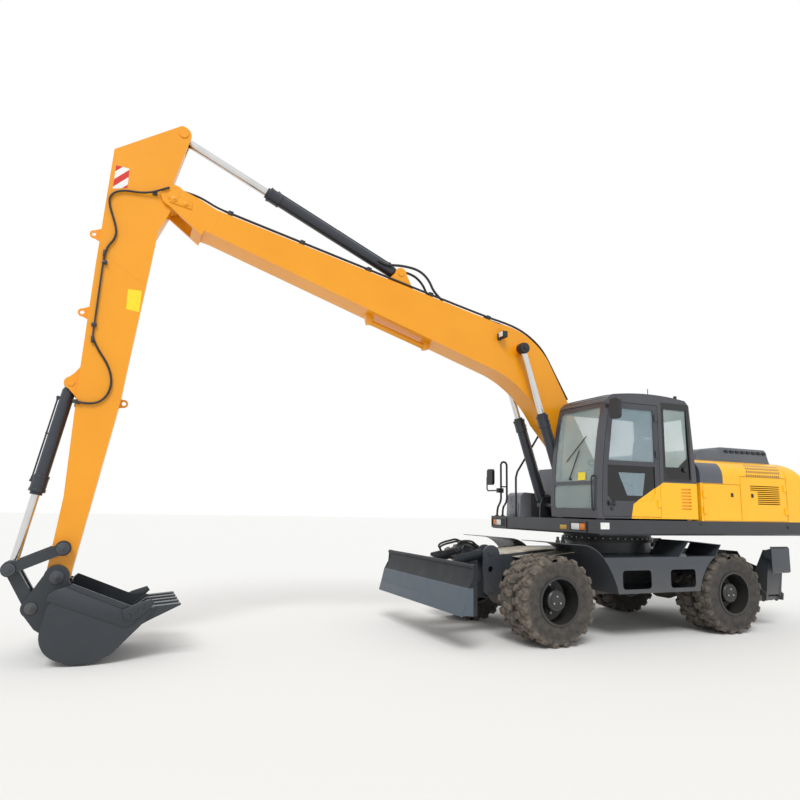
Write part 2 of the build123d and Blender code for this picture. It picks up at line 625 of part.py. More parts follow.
for hand, name in ((1, "left"), (-1, "right")):
    with BuildPart() as leg:
        for ear in (-1, 1):
            with BuildSketch(cross(mid_x + ear * (leg_half - leg_ear / 2) - leg_ear / 2)):
                outline([(hand * (leg_pin[0] - 75), leg_pin[1] - 20), (hand * leg_pin[0], leg_pin[1] - 58),
                         (hand * (leg_pin[0] + 62), leg_pin[1] + 10), (hand * (leg_top[0] + 40), leg_top[1] - 40),
                         (hand * (leg_top[0] + 32), leg_top[1] + 40), (hand * (leg_top[0] - 40), leg_top[1] + 44),
                         (hand * (leg_rod_pin[0] - 60), leg_rod_pin[1])])
                with Locations((hand * leg_pin[0], leg_pin[1])):
                    Circle(leg_pin_radius + running_gap, mode=Mode.SUBTRACT)
            extrude(amount=leg_ear)
        with BuildSketch(cross(mid_x - leg_half)):
            outline([(hand * (leg_pin[0] + 60), leg_pin[1] + 40), (hand * (leg_top[0] + 40), leg_top[1] - 60),
                     (hand * (leg_top[0] + 20), leg_top[1] - 58), (hand * (leg_pin[0] + 44), leg_pin[1] + 70)])
        extrude(amount=2 * leg_half)
        # Bore for the pin of the pad
        with BuildSketch(cross(mid_x - leg_half - 1)):
            with Locations((hand * leg_top[0], leg_top[1])):
                Circle(pad_pin_radius + running_gap)
        extrude(amount=2 * leg_half + 2, mode=Mode.SUBTRACT)
    leg.part.label = "stabilizer_leg_" + name
    export_step(leg.part, "parts/stabilizer_leg_" + name + ".step")

    with BuildPart() as pad:
        with BuildSketch(cross(mid_x - 180)):
            outline([(hand * (leg_top[0] + 96), leg_top[1] + 95), (hand * (leg_top[0] + 120), leg_top[1] + 70),
                     (hand * (leg_top[0] + 120), leg_top[1] - 250), (hand * (leg_top[0] + 96), leg_top[1] - 265),
                     (hand * (leg_top[0] + 96), leg_top[1] - 240), (hand * (leg_top[0] + 106), leg_top[1] - 240),
                     (hand * (leg_top[0] + 106), leg_top[1] + 70)])
        extrude(amount=360)
        for ear in (-1, 1):
            with BuildSketch(cross(mid_x + ear * (leg_half + 20) - 10)):
                outline([(hand * (leg_top[0] + 106), leg_top[1] - 90), (hand * (leg_top[0] - 20), leg_top[1] - 34),
                         (hand * (leg_top[0] - 20), leg_top[1] + 34), (hand * (leg_top[0] + 106), leg_top[1] + 70)])
            extrude(amount=20)
        with BuildSketch(cross(mid_x - leg_half - 30)):
            with Locations((hand * leg_top[0], leg_top[1])):
                Circle(pad_pin_radius)
        extrude(amount=2 * leg_half + 60)
    pad.part.label = "stabilizer_pad_" + name
    export_step(pad.part, "parts/stabilizer_pad_" + name + ".step")

    plane = cross_arm_plane(stabilizer_cylinder_pin, leg_rod_pin, mid_x, hand)
    axis = Axis(plane.origin, plane.x_dir)
    length = hypot(leg_rod_pin[0] - stabilizer_cylinder_pin[0], leg_rod_pin[1] - stabilizer_cylinder_pin[1])
    with BuildPart() as leg_barrel:
        with BuildSketch(plane):
            outline([(26, 0), (26, 40), (60, 48), (length - 130, 48), (length - 130, leg_rod_radius + running_gap),
                     (90, leg_rod_radius + running_gap), (90, 0)])
        revolve(axis=axis)
        with BuildSketch(cross(mid_x - 40)):
            with Locations((hand * stabilizer_cylinder_pin[0], stabilizer_cylinder_pin[1])):
                Circle(52)
        extrude(amount=80)
        with BuildSketch(cross(mid_x - 50)):
            with Locations((hand * stabilizer_cylinder_pin[0], stabilizer_cylinder_pin[1])):
                Circle(34 + running_gap)
        extrude(amount=100, mode=Mode.SUBTRACT)
    leg_barrel.part.label = "stabilizer_barrel_" + name
    export_step(leg_barrel.part, "parts/stabilizer_barrel_" + name + ".step")

    with BuildPart() as leg_rod:
        with BuildSketch(plane):
            outline([(110, 0), (110, leg_rod_radius), (length - 40, leg_rod_radius), (length - 40, 0)])
        revolve(axis=axis)
        with BuildSketch(cross(mid_x - 34)):
            with Locations((hand * leg_rod_pin[0], leg_rod_pin[1])):
                Circle(46)
        extrude(amount=68)
        pin_half = leg_half - leg_ear - running_gap
        with BuildSketch(cross(mid_x - pin_half)):
            with Locations((hand * leg_rod_pin[0], leg_rod_pin[1])):
                Circle(24)
        extrude(amount=2 * pin_half)
    leg_rod.part.label = "stabilizer_rod_" + name
    export_step(leg_rod.part, "parts/stabilizer_rod_" + name + ".step")


# House deck: the floor plate with its deep skirt, the main beams and the boom's foot brackets
def house_plan(inset, z):
    """The outline of the house seen from above: square in front, round at the tail."""
    half = house_half_width - inset
    tail = tail_radius - inset
    corner_x = -sqrt(tail * tail - half * half)
    with BuildSketch(level(z)) as plan:
        with BuildLine():
            Polyline((corner_x, half), (house_front_x - inset, half), (house_front_x - inset, -half),
                     (corner_x, -half))
            ThreePointArc((corner_x, -half), (-tail, 0), (corner_x, half))
        make_face()
    return plan.sketch


bracket_foot_y = boom_half_width + 8
foot_plate = 24
with BuildPart() as house_deck:
    extrude(house_plan(0, deck_bottom_z), amount=deck_top_z - deck_bottom_z)
    chamfer(house_deck.edges().group_by(Axis.Z)[0], 24)
    extrude(house_plan(22, deck_bottom_z - 1), amount=deck_top_z - deck_bottom_z - 24, mode=Mode.SUBTRACT)
    with BuildSketch(level(deck_bottom_z)):
        Circle(ring_radius + 60)
        Circle(ring_radius - 200, mode=Mode.SUBTRACT)
    extrude(amount=60)
    for y in (boom_y + bracket_foot_y, boom_y - bracket_foot_y - foot_plate):
        block((-2100, 1120), (y, y + foot_plate), (deck_bottom_z + 20, deck_top_z))
        # Foot bracket above the deck
        with BuildSketch(side(y + foot_plate)):
            with BuildLine():
                Polyline((-500, deck_top_z - 2), (boom_foot[0] - 160, boom_foot[1] + 40))
                ThreePointArc((boom_foot[0] - 160, boom_foot[1] + 40), (boom_foot[0] - 20, boom_foot[1] + 160),
                              (boom_foot[0] + 140, boom_foot[1] + 70))
                Polyline((boom_foot[0] + 140, boom_foot[1] + 70), (boom_cylinder_pin[0] - 60, 1760),
                         (boom_cylinder_pin[0] + 60, 1740), (boom_cylinder_pin[0] + 110, 1640),
                         (boom_cylinder_pin[0] + 120, deck_top_z - 2), (-500, deck_top_z - 2))
            make_face()
        extrude(amount=foot_plate)
    # Housings of the head lamps, in the front face
    for y_from, y_to in ((683, 1022), (-1223, -809)):
        with BuildSketch(cross(house_front_x - 4)):
            with Locations(((y_from + y_to) / 2, 1362)):
                RectangleRounded(y_to - y_from, 138, 16)
                RectangleRounded(y_to - y_from - 40, 98, 10, mode=Mode.SUBTRACT)
        extrude(amount=18)
    across(boom_foot, 46, boom_y - bracket_foot_y - 42, boom_y + bracket_foot_y + 42)
    across(boom_cylinder_pin, 42, boom_y - boom_cylinder_offset - 58, boom_y + boom_cylinder_offset + 58)
house_deck.part.label = "house_deck"
export_step(house_deck.part, "parts/house_deck.step")


# Outer form of the engine body and counterweight: straight flanks, rounded shoulders, falling tail
def house_form(inset, x_from, x_to, z_from):
    half = house_half_width - inset
    top = body_top_z - inset
    shoulder = body_shoulder_z - inset
    with BuildSketch(cross(x_from)) as section:
        with BuildLine():
            Polyline((half, z_from), (half, shoulder - 60))
            ThreePointArc((half, shoulder - 60), (half - 62, shoulder + 84), (half - 230, top - 20))
            Polyline((half - 230, top - 20), (half - 480, top), (-half + 480, top), (-half + 230, top - 20))
            ThreePointArc((-half + 230, top - 20), (-half + 62, shoulder + 84), (-half, shoulder - 60))
            Polyline((-half, shoulder - 60), (-half, z_from), (half, z_from))
        make_face()
    extrude(section.sketch, amount=x_to - x_from)
    tail = tail_radius - inset
    front = max(x_to, 780 - tail_radius) + 10
    with BuildSketch(side(house_half_width + 50)) as profile:
        with BuildLine():
            Polyline((front, z_from - 5), (front, top + 40), (660 - tail_radius, top + 2))
            ThreePointArc((660 - tail_radius, top + 2), (340 - tail_radius, top - 130),
                          (180 - tail_radius, top - 440))
            Polyline((180 - tail_radius, top - 440), (-tail + 20, deck_top_z + 80), (-tail - 5, z_from - 5),
                     (front, z_from - 5))
        make_face()
    extrude(profile.sketch, amount=2 * house_half_width + 100, mode=Mode.INTERSECT)
    extrude(house_plan(inset, z_from - 10), amount=body_top_z, mode=Mode.INTERSECT)


with BuildPart() as counterweight:
    house_form(0, -tail_radius - 50, counterweight_front_x, deck_top_z)
counterweight.part.label = "counterweight"
export_step(counterweight.part, "parts/counterweight.step")

body_bottom_z = deck_top_z
with BuildPart() as body_outer:
    house_form(0, counterweight_front_x + 8, body_front_x, body_bottom_z)
with BuildPart() as body_inner:
    house_form(body_wall, counterweight_front_x - 200, body_front_x - body_wall, body_bottom_z - 20)

door_rear_x = counterweight_front_x + 20
service_doors = (
    # name, hand, front X, rear X, bottom Z, top Z
    ("service_door_left_front", 1, -560, -1250, body_bottom_z + 10, 1945),
    ("service_door_left_rear", 1, -1262, door_rear_x, body_bottom_z + 10, 2060),
    ("service_door_right", -1, -1262, door_rear_x, body_bottom_z + 10, 2060),
)
hood_opening = ((counterweight_front_x + 100, -1000), (-760, 760))
flange = 8
with BuildPart() as body_shell:
    add(body_outer.part)
    add(body_inner.part, mode=Mode.SUBTRACT)
    for name, hand, x_front, x_rear, z_bottom, z_top in service_doors:
        side_y = hand * (house_half_width - body_wall / 2)
        block((x_rear - door_gap, x_front + door_gap), (side_y - 130, side_y + 130),
              (z_bottom - door_gap, z_top + door_gap), mode=Mode.SUBTRACT)
        # Flange inside the opening, against which the door closes
        flange_y = hand * (house_half_width - body_wall - flange / 2)
        block((max(x_rear - 26, counterweight_front_x + 8), x_front + 26),
              (flange_y - flange / 2, flange_y + flange / 2), (z_bottom - 8, z_top + 26))
        block((x_rear + 20, x_front - 20), (flange_y - flange, flange_y + flange),
              (z_bottom + 20, z_top - 20), mode=Mode.SUBTRACT)
    block(hood_opening[0], hood_opening[1], (2200, 2400), mode=Mode.SUBTRACT)
body_shell.part.label = "body_shell"
export_step(body_shell.part, "parts/body_shell.step")

hinge_radius = 11
hinge_length = 90
# Air slots in the rear doors, under each other: the upper rows stop short of the engine's end
slot_height, slot_pitch = 13, 27
grille = (
    # front X, rear X, lowest Z, rows
    (-1585, -2030, 1690, 7),
    (-1450, -2030, 1690 + 7 * 27, 3),
)
for name, hand, x_front, x_rear, z_bottom, z_top in service_doors:
    with BuildPart() as service_door:
        add(body_outer.part)
        add(body_inner.part, mode=Mode.SUBTRACT)
        door_half = (body_wall - running_gap) / 2
        door_y = hand * (house_half_width - door_half)
        block((x_rear, x_front), (door_y - door_half, door_y + door_half), (z_bottom, z_top),
              mode=Mode.INTERSECT)
        # Barrels of the hinges, at the rear edge of the rear doors and at the front edge of the front one
        hinge_x = x_front if x_front == -560 else x_rear
        leaf = sorted((hinge_x, hinge_x + (60 if hinge_x == x_rear else -60)))
        for z in (z_bottom + 90, z_top - 90 - hinge_length):
            with BuildSketch(level(z)):
                with Locations((hinge_x, hand * (house_half_width + hinge_radius + 1))):
                    Circle(hinge_radius)
            extrude(amount=hinge_length)
            block(leaf, sorted((hand * (house_half_width - 1), hand * (house_half_width + 14))),
                  (z, z + hinge_length))
        if x_rear == door_rear_x:
            for slot_front, slot_rear, lowest_z, rows in grille:
                for row in range(rows):
                    z = lowest_z + row * slot_pitch
                    block((slot_rear, slot_front), (door_y - body_wall, door_y + body_wall),
                          (z, z + slot_height), mode=Mode.SUBTRACT)
    service_door.part.label = name
    export_step(service_door.part, "parts/" + name + ".step")

# Engine hood: the raised cover over the opening in the roof of the body
hood_front_x, hood_rear_x, hood_half = -700, door_rear_x, 790
hood_foot_z = body_top_z + running_gap
hood_wall = 24
with BuildPart() as engine_hood:
    with BuildSketch(side(hood_half)):
        outline([(hood_front_x, hood_foot_z), (hood_front_x - 30, body_top_z + 180), (-1000, body_top_z + 200),
                 (hood_rear_x + 80, body_top_z + 190), (hood_rear_x, hood_foot_z)])
    extrude(amount=2 * hood_half)
    with BuildSketch(side(hood_half - hood_wall)):
        outline([(hood_front_x - 24, body_top_z), (hood_front_x - 50, body_top_z + 156),
                 (-1000, body_top_z + 176), (hood_rear_x + 94, body_top_z + 166), (hood_rear_x + 30, body_top_z)])
    extrude(amount=2 * (hood_half - hood_wall), mode=Mode.SUBTRACT)
    # Air slots in both flanks, and the barrels of the hinges in front
    for slot in range(8):
        x = -1560 - slot * 108
        block((x - 78, x), (-hood_half - 5, hood_half + 5), (body_top_z + 140, body_top_z + 156), mode=Mode.SUBTRACT)
    for y in (-560, 560):
        across((hood_front_x, hood_foot_z + hinge_radius), hinge_radius, y - 60, y + 60)
engine_hood.part.label = "engine_hood"
export_step(engine_hood.part, "parts/engine_hood.step")

with BuildPart() as engine:
    block((counterweight_front_x + 130, -1150), (-620, 620), (deck_top_z, body_shoulder_z + 60))
engine.part.label = "engine"
export_step(engine.part, "parts/engine.step")

# Tank and tool box on the right, with a step down to the front
tank_top_z = 2200
tool_box_y = -860
with BuildPart() as right_tanks:
    block((-510, 280), (-house_half_width + 10, -470), (deck_top_z, tank_top_z))
    with BuildSketch(side(tool_box_y)):
        with BuildLine():
            Polyline((280, deck_top_z), (280, 1790), (808, 1818))
            ThreePointArc((808, 1818), (868, 1786), (890, 1718))
            Polyline((890, 1718), (905, deck_top_z), (280, deck_top_z))
        make_face()
    extrude(amount=house_half_width - 10 + tool_box_y)
right_tanks.part.label = "right_tanks"
export_step(right_tanks.part, "parts/right_tanks.step")

# Hand rails of bent tube on the right: a tall loop at the front corner, and one that climbs to the tank
rail_radius = 16
loop_y, climb_y = -1180, -700
with BuildPart() as handrails:
    pipe([(1112, deck_top_z + 6), (1106, 1535), (1094, 1590), (1052, 1665), (1038, 1720), (1038, 2250),
          (1020, 2283), (985, 2295), (949, 2283), (931, 2250), (931, 1720), (945, 1665), (996, 1590),
          (1008, 1535), (1012, deck_top_z + 6)], rail_radius, side(loop_y))
    with BuildSketch(cross(931)):
        with Locations((loop_y, 1905)):
            Circle(10)
    extrude(amount=107)
    pipe([(1080, deck_top_z + 6), (1077, 2030), (1050, 2118), (605, 2765), (520, 2828), (190, 2830),
          (132, 2800), (118, 2740), (100, tank_top_z + 6)], rail_radius, side(climb_y))
    # Feet, bolted down
    for x, y, z in ((1112, loop_y, deck_top_z), (1012, loop_y, deck_top_z), (1080, climb_y, deck_top_z),
                    (100, climb_y, tank_top_z)):
        with BuildSketch(level(z)):
            with Locations((x, y)):
                RegularPolygon(32, 8)
        extrude(amount=12)

# Mirrors: a rounded head on a bent arm, one on the front pillar of the cab and one on the front rail
mirror_width, mirror_height, mirror_depth = 165, 250, 46
mirror_arm_radius = 11
near_mirror, far_mirror = (1040, 1443, 2805), (1100, -1386, 2060)
with BuildPart() as mirrors:
    for x, y, z in (near_mirror, far_mirror):
        with BuildSketch(cross(x - mirror_depth / 2)):
            with Locations((y, z)):
                RectangleRounded(mirror_width, mirror_height, 42)
        extrude(amount=mirror_depth)
    # Arm of the near mirror, level, from a plate on the pillar into the back of the head
    arm_z = near_mirror[2] + 65
    block((958, 1002), (cab_left_y, cab_left_y + 10), (arm_z - 30, arm_z + 30))
    pipe([(980, cab_left_y + 4), (990, cab_left_y + 90), (near_mirror[0] + 10, near_mirror[1] - 50),
          (near_mirror[0] + 10, near_mirror[1] + 10)], mirror_arm_radius, level(arm_z))
    # Arm of the far mirror: from a clamp round the rail, out and up behind the head
    far_x = far_mirror[0] - 10
    outer_y = far_mirror[1] - 130
    block((1038 - 30, far_x + 14), (loop_y - 30, loop_y + 30), (1810, 1880))
    with BuildSketch(level(1800)):
        with Locations((1038, loop_y)):
            RegularPolygon(rail_radius + running_gap, 8)
    extrude(amount=90, mode=Mode.SUBTRACT)
    pipe([(loop_y - 20, 1845), (outer_y + 30, 1845), (outer_y, 1875), (outer_y, far_mirror[2] - 10),
          (outer_y + 30, far_mirror[2] + 20), (far_mirror[1] - 40, far_mirror[2] + 20)],
         mirror_arm_radius, cross(far_x))
mirrors.part.label = "mirrors"
handrails.part.label = "handrails"
rails_mirrors = Compound(label="rails_mirrors", children=[handrails.part, mirrors.part])
export_step(rails_mirrors, "parts/rails_mirrors.step")


# Cab: a hollow cell, whose windows and door opening are cut from one outer form
def cab_form(inset):
    with BuildSketch(side(cab_left_y - inset)) as profile:
        with BuildLine():
            Polyline((1168 - inset, cab_bottom_z + inset), (1180 - inset, 1620))
            ThreePointArc((1180 - inset, 1620), (1128 - inset, 2300), (1010 - inset, 2900))
            ThreePointArc((1010 - inset, 2900), (970 - inset, 2975 - inset * 0.6), (880, 3030 - inset))
            ThreePointArc((880, 3030 - inset), (300, 3075 - inset), (-330, 3035 - inset))
            Polyline((-330, 3035 - inset), (-395 + inset, 2970 - inset), (cab_rear_x + inset, 2000),
                     (cab_rear_x + inset, cab_bottom_z + inset), (1168 - inset, cab_bottom_z + inset))
        make_face()
    extrude(profile.sketch, amount=cab_left_y - cab_right_y - 2 * inset)


with BuildPart() as cab_outer:
    cab_form(0)
with BuildPart() as cab_inner:
    cab_form(cab_wall)

door_rear, door_bottom, door_top = 165, 1500, 2930
side_windows = (
    # Y where the cut starts, corner points seen from the side (X, Z)
    (cab_left_y + 10, [(80, 2900), (80, 2080), (0, 1990), (-370, 1990), (-335, 2900)]),
    (cab_right_y + 70, [(930, 2860), (1040, 1950), (-330, 1950), (-300, 2860)]),
)
door_windows = (
    ("upper", [(885, 2860), (985, 2190), (245, 2190), (245, 2860)]),
    ("lower", [(1005, 2130), (1020, 1760), (960, 1690), (320, 1690), (245, 1780), (245, 2130)]),
)


def door_face(gap, y):
    """The outline of the cab door, which follows the front pillar, wider by the gap all round."""
    with BuildSketch(side(y)) as face:
        with BuildLine():
            Polyline((door_rear, door_top), (door_rear, door_bottom), (1095, door_bottom), (1100, 1620))
            ThreePointArc((1100, 1620), (1050, 2300), (945, 2860))
            Polyline((945, 2860), (900, door_top), (door_rear, door_top))
        make_face()
        if gap:
            offset(amount=gap, kind=Kind.INTERSECTION)
    return face.sketch


def cab_openings(gap, mode=Mode.ADD):
    """Prisms through every window of the cab, smaller all round by the gap."""
    middle_y = (cab_left_y + cab_right_y) / 2
    width = cab_left_y - cab_right_y
    # Windscreen, lower and upper, and the rear window
    for x, depth, z_from, z_to, post in ((900, 400, 1590, 1890, 75), (900, 400, 1930, 2860, 75),
                                         (-600, 300, 2040, 2800, 90)):
        with BuildSketch(cross(x)) as section:
            with Locations((middle_y, (z_from + z_to) / 2)):
                RectangleRounded(width - 2 * post - 2 * gap, z_to - z_from - 2 * gap, 40)
        extrude(section.sketch, amount=depth, mode=mode)
    # Windows on the left behind the door, and on the right
    for y, points in side_windows:
        with BuildSketch(side(y)) as section:
            outline(points)
            if gap:
                offset(amount=-gap, kind=Kind.INTERSECTION)
        extrude(section.sketch, amount=80, mode=mode)


with BuildPart() as cab_shell:
    add(cab_outer.part)
    add(cab_inner.part, mode=Mode.SUBTRACT)
    extrude(door_face(door_gap, cab_left_y + 10), amount=80, mode=Mode.SUBTRACT)
    cab_openings(0, Mode.SUBTRACT)
    # Air slots in the panel below the rear side window
    for row in range(7):
        z = 1595 + row * 42
        block((-363, -190), (cab_left_y - cab_wall / 2, cab_left_y + 1), (z, z + 20), mode=Mode.SUBTRACT)
    # Seal inside the door opening, against which the door closes
    seal_y = cab_left_y - cab_wall
    extrude(door_face(26, seal_y), amount=10)
    extrude(door_face(-20, seal_y + 1), amount=12, mode=Mode.SUBTRACT)
    # Rubber mounts on the deck
    with BuildSketch(level(deck_top_z)):
        for x in (cab_rear_x + 90, 1060):
            for y in (cab_right_y + 90, cab_left_y - 90):
                with Locations((x, y)):
                    Circle(50)
    extrude(amount=cab_bottom_z - deck_top_z + 4)
cab_shell.part.label = "cab_shell"
export_step(cab_shell.part, "parts/cab_shell.step")

# Panes: curved where the cab is, each a little smaller than its opening
glass_wall = 6
glass_inset = 12
with BuildPart() as pane_outer:
    cab_form(glass_inset)
with BuildPart() as pane_inner:
    cab_form(glass_inset + glass_wall)
with BuildPart() as window_prisms:
    cab_openings(running_gap)
with BuildPart() as cab_glass:
    add(pane_outer.part)
    add(pane_inner.part, mode=Mode.SUBTRACT)
    add(window_prisms.part, mode=Mode.INTERSECT)
cab_glass.part.label = "cab_glass"
export_step(cab_glass.part, "parts/cab_glass.step")

with BuildPart() as door_glass:
    for name, points in door_windows:
        with BuildSketch(side(cab_left_y - glass_inset)):
            outline(points)
            offset(amount=-running_gap, kind=Kind.INTERSECTION)
        extrude(amount=glass_wall)
door_glass.part.label = "door_glass"
export_step(door_glass.part, "parts/door_glass.step")

with BuildPart() as cab_door:
    extrude(door_face(0, cab_left_y), amount=cab_wall - running_gap)
    # Barrels of the hinges
    for z in (door_bottom + 120, 2250, door_top - 210):
        with BuildSketch(level(z)):
            with Locations((door_rear, cab_left_y + 12)):
                Circle(hinge_radius)
        extrude(amount=hinge_length)
        block((door_rear, door_rear + 60), (cab_left_y - 1, cab_left_y + 14), (z, z + hinge_length))
    for name, points in door_windows:
        with BuildSketch(side(cab_left_y + 10)):
            outline(points)
        extrude(amount=80, mode=Mode.SUBTRACT)
cab_door.part.label = "cab_door"
export_step(cab_door.part, "parts/cab_door.step")

# Seat and control stands inside the cab
with BuildPart() as seat:
    seat_y = (cab_left_y + cab_right_y) / 2
    block((-120, 420), (seat_y - 240, seat_y + 240), (1880, 2000))
    with BuildSketch(side(seat_y + 230)):
        outline([(-60, 2000), (60, 2000), (-40, 2560), (-140, 2540)])
    extrude(amount=460)
    block((-160, 380), (seat_y - 180, seat_y + 180), (cab_bottom_z + cab_wall, 1880))
    with BuildSketch(side(seat_y + 130)):
        outline([(-60, 2550), (-20, 2760), (-110, 2760), (-130, 2550)])
    extrude(amount=260)
seat.part.label = "seat"
export_step(seat.part, "parts/seat.step")

# Controls: a stand with a lever on each side of the seat, and the steering column with its wheel
floor_z = cab_bottom_z + cab_wall
wheel_centre, column_foot = (700, 2150), (922, floor_z + 40)
with BuildPart() as cab_controls:
    for hand in (1, -1):
        y = seat_y + hand * 310
        block((0, 420), (y - 50, y + 50), (floor_z, 2120))
        for z_from, z_to, radius in ((2118, 2240, 12), (2236, 2300, 24)):
            with BuildSketch(level(z_from)):
                with Locations((380, y)):
                    Circle(radius)
            extrude(amount=z_to - z_from)
    column = arm_plane(column_foot, wheel_centre, seat_y)
    column_length = hypot(wheel_centre[0] - column_foot[0], wheel_centre[1] - column_foot[1])
    tilt = Plane(origin=column.origin, z_dir=column.x_dir)
    with BuildSketch(tilt):
        Circle(42)
    extrude(amount=column_length)
    block((column_foot[0] - 90, column_foot[0] + 90), (seat_y - 150, seat_y + 150), (floor_z, floor_z + 60))
    with BuildSketch(tilt.offset(column_length - 8)):
        Circle(190)
        Circle(162, mode=Mode.SUBTRACT)
        Rectangle(40, 2 * 170)
    extrude(amount=24)
cab_controls.part.label = "cab_controls"
export_step(cab_controls.part, "parts/cab_controls.step")

# Boom: a closed box of plate, bent behind its cylinder's pin, forked at the tip
rod_eye_half = 44
arm_pin_radius = 40
with BuildPart() as boom:
    def boom_outline(inset):
        with BuildLine() as edge:
            Polyline((5960, 5090 - inset), (5745, 4990 - inset), (1865, 4108 - inset))
            ThreePointArc((1865, 4108 - inset), (1330, 3940 - inset), (1050 + inset, 3672))
            Polyline((1050 + inset, 3672), (715 + inset, 3085), (boom_foot[0] - 110 + inset, boom_foot[1] + 80),
                     (boom_foot[0] - 110 + inset, boom_foot[1] - 60), (boom_foot[0] + 60, boom_foot[1] - 130 + inset),
                     (boom_foot[0] + 200 - inset, boom_foot[1] + 20), (1120 - inset, 2770))
            ThreePointArc((1120 - inset, 2770), (1465 - inset, 3180 + inset * 0.5), (2015, 3470 + inset))
            Polyline((2015, 3470 + inset), (5775, 4680 + inset), (5960, 4720 + inset), (5960, 5090 - inset))
        make_face(edge.edges())
    with BuildSketch(side(boom_y + boom_half_width)):
        boom_outline(0)
        outline([(5745, 4990), (5900, 4650), (boom_tip[0] + 40, boom_tip[1] - 128),
                 (boom_tip[0] + 132, boom_tip[1] - 20), (boom_tip[0] + 20, boom_tip[1] + 132), (5960, 5090)])
        with Locations(boom_tip):
            Circle(134)
    extrude(amount=2 * boom_half_width)
    with BuildSketch(side(boom_y + boom_half_width - boom_plate)):
        boom_outline(boom_plate)
    extrude(amount=2 * (boom_half_width - boom_plate), mode=Mode.SUBTRACT)
    # Fork for the stick
    fork_half = stick_half_width + 8
    with BuildSketch(side(boom_y + fork_half)):
        with Locations(boom_tip):
            Circle(410)
    extrude(amount=2 * fork_half, mode=Mode.SUBTRACT)
    across(boom_tip, 62, boom_y - boom_half_width - 14, boom_y + boom_half_width + 14)
    # Bosses at the foot, the cylinder pins and the arm cylinder's bracket
    across(boom_foot, 112, boom_y - boom_half_width, boom_y + boom_half_width)
    across(boom_foot, 46 + running_gap, boom_y - boom_half_width - 1, boom_y + boom_half_width + 1,
           mode=Mode.SUBTRACT)
    across(boom_rod_pin, 96, boom_y - boom_half_width - 14, boom_y + boom_half_width + 14)
    rod_boss_y = boom_cylinder_offset - rod_eye_half - running_gap
    across(boom_rod_pin, 66, boom_y - rod_boss_y, boom_y + rod_boss_y)
    across(arm_cylinder_pin, arm_pin_radius, boom_y - 126, boom_y + 126)
    for ear in (-1, 1):
        with BuildSketch(side(boom_y + ear * 98 + 16)):
            with Locations(arm_cylinder_pin):
                Circle(78)
            outline([(arm_cylinder_pin[0] - 78, arm_cylinder_pin[1]), (arm_cylinder_pin[0] + 78, arm_cylinder_pin[1]),
                     (arm_cylinder_pin[0] + 240, 4450), (arm_cylinder_pin[0] - 200, 4390)])
        extrude(amount=32)
boom.part.label = "boom"
export_step(boom.part, "parts/boom.step")

# Oil pipes along the top of the boom, held by clamps, with the work lamp beside them
boom_pipe_radius = 15
boom_pipe_ys = (145, 50, -50, -145)
pipe_lift = 40
top_rear, top_front = (1865, 4108), (5745, 4990)
with BuildPart() as boom_lines:
    for offset_y in boom_pipe_ys:
        pipe([(5620, 5003), (1739, 4144), (1498, 4079), (1278, 3962), (1090, 3797), (697, 3134)], boom_pipe_radius, side(boom_y + offset_y))
    for step in range(5):
        foot = along(top_rear, top_front, 0.04 + step * 0.23)
        clamp_plane = arm_plane(foot, top_front, boom_y + 165)
        with BuildSketch(clamp_plane):
            with Locations((0, 32)):
                Rectangle(60, 64 - running_gap)
        extrude(amount=330)
    # Work lamp on the left flank, above the bend
    block((1840, 1890), (boom_y + boom_half_width, boom_y + boom_half_width + 40), (3870, 3960))
    with BuildSketch(cross(1800)):
        with Locations((boom_y + boom_half_width + 75, 3935)):
            RectangleRounded(120, 90, 18)
    extrude(amount=90)
boom_lines.part.label = "boom_lines"
export_step(boom_lines.part, "parts/boom_lines.step")

# Stick: a closed box of plate, deep behind the pivot and slender at the bucket
nose_slot_half = 60
nose_slot_radius = 200
bucket_base_pin_radius = 36
with BuildPart() as stick:
    def stick_outline(inset):
        with BuildLine() as edge:
            Polyline((6905 - inset, 5505 - inset * 0.8), (6210, 5975 - inset))
            ThreePointArc((6210, 5975 - inset), (6108 + inset, 5930), (6100 + inset, 5820))
            Polyline((6100 + inset, 5820), (6250 + inset, 5254), (6242 + inset, 4920), (6374 + inset, 4610),
                     (6420 + inset, 4200), (6560 + inset, 3030), (6600 + inset, 2660),
                     (6925 + inset, 800), (7150 - inset, 800), (7060 - inset, 1600), (7030 - inset, 2900),
                     (6980 - inset, 4100), (6905 - inset, 5505 - inset * 0.8))
        make_face(edge.edges())
    with BuildSketch(side(boom_y + stick_half_width)):
        stick_outline(0)
        with Locations(boom_tip, bucket_pin):
            Circle(118)
    extrude(amount=2 * stick_half_width)
    with BuildSketch(side(boom_y + stick_half_width - stick_plate)):
        stick_outline(stick_plate)
    extrude(amount=2 * (stick_half_width - stick_plate), mode=Mode.SUBTRACT)
    # Tubes for the pins
    for pin, radius in ((boom_tip, 100), (bucket_pin, 90), (rocker_pin, 62)):
        across(pin, radius, boom_y - stick_half_width, boom_y + stick_half_width)
    for pin, radius in ((boom_tip, 62), (bucket_pin, 45)):
        across(pin, radius + running_gap, boom_y - stick_half_width - 1, boom_y + stick_half_width + 1,
               mode=Mode.SUBTRACT)
    # Slot in the nose for the rod of the arm cylinder, and the heads of its pin
    with BuildSketch(side(boom_y + nose_slot_half)):
        with Locations(stick_nose):
            Circle(nose_slot_radius)
    extrude(amount=2 * nose_slot_half, mode=Mode.SUBTRACT)
    for hand in (1, -1):
        across(stick_nose, 54, boom_y + hand * (stick_half_width - 2), boom_y + hand * (stick_half_width + 12))
    across(rocker_pin, 45, boom_y - stick_half_width - 104, boom_y + stick_half_width + 104)
stick.part.label = "stick"
export_step(stick.part, "parts/stick.step")

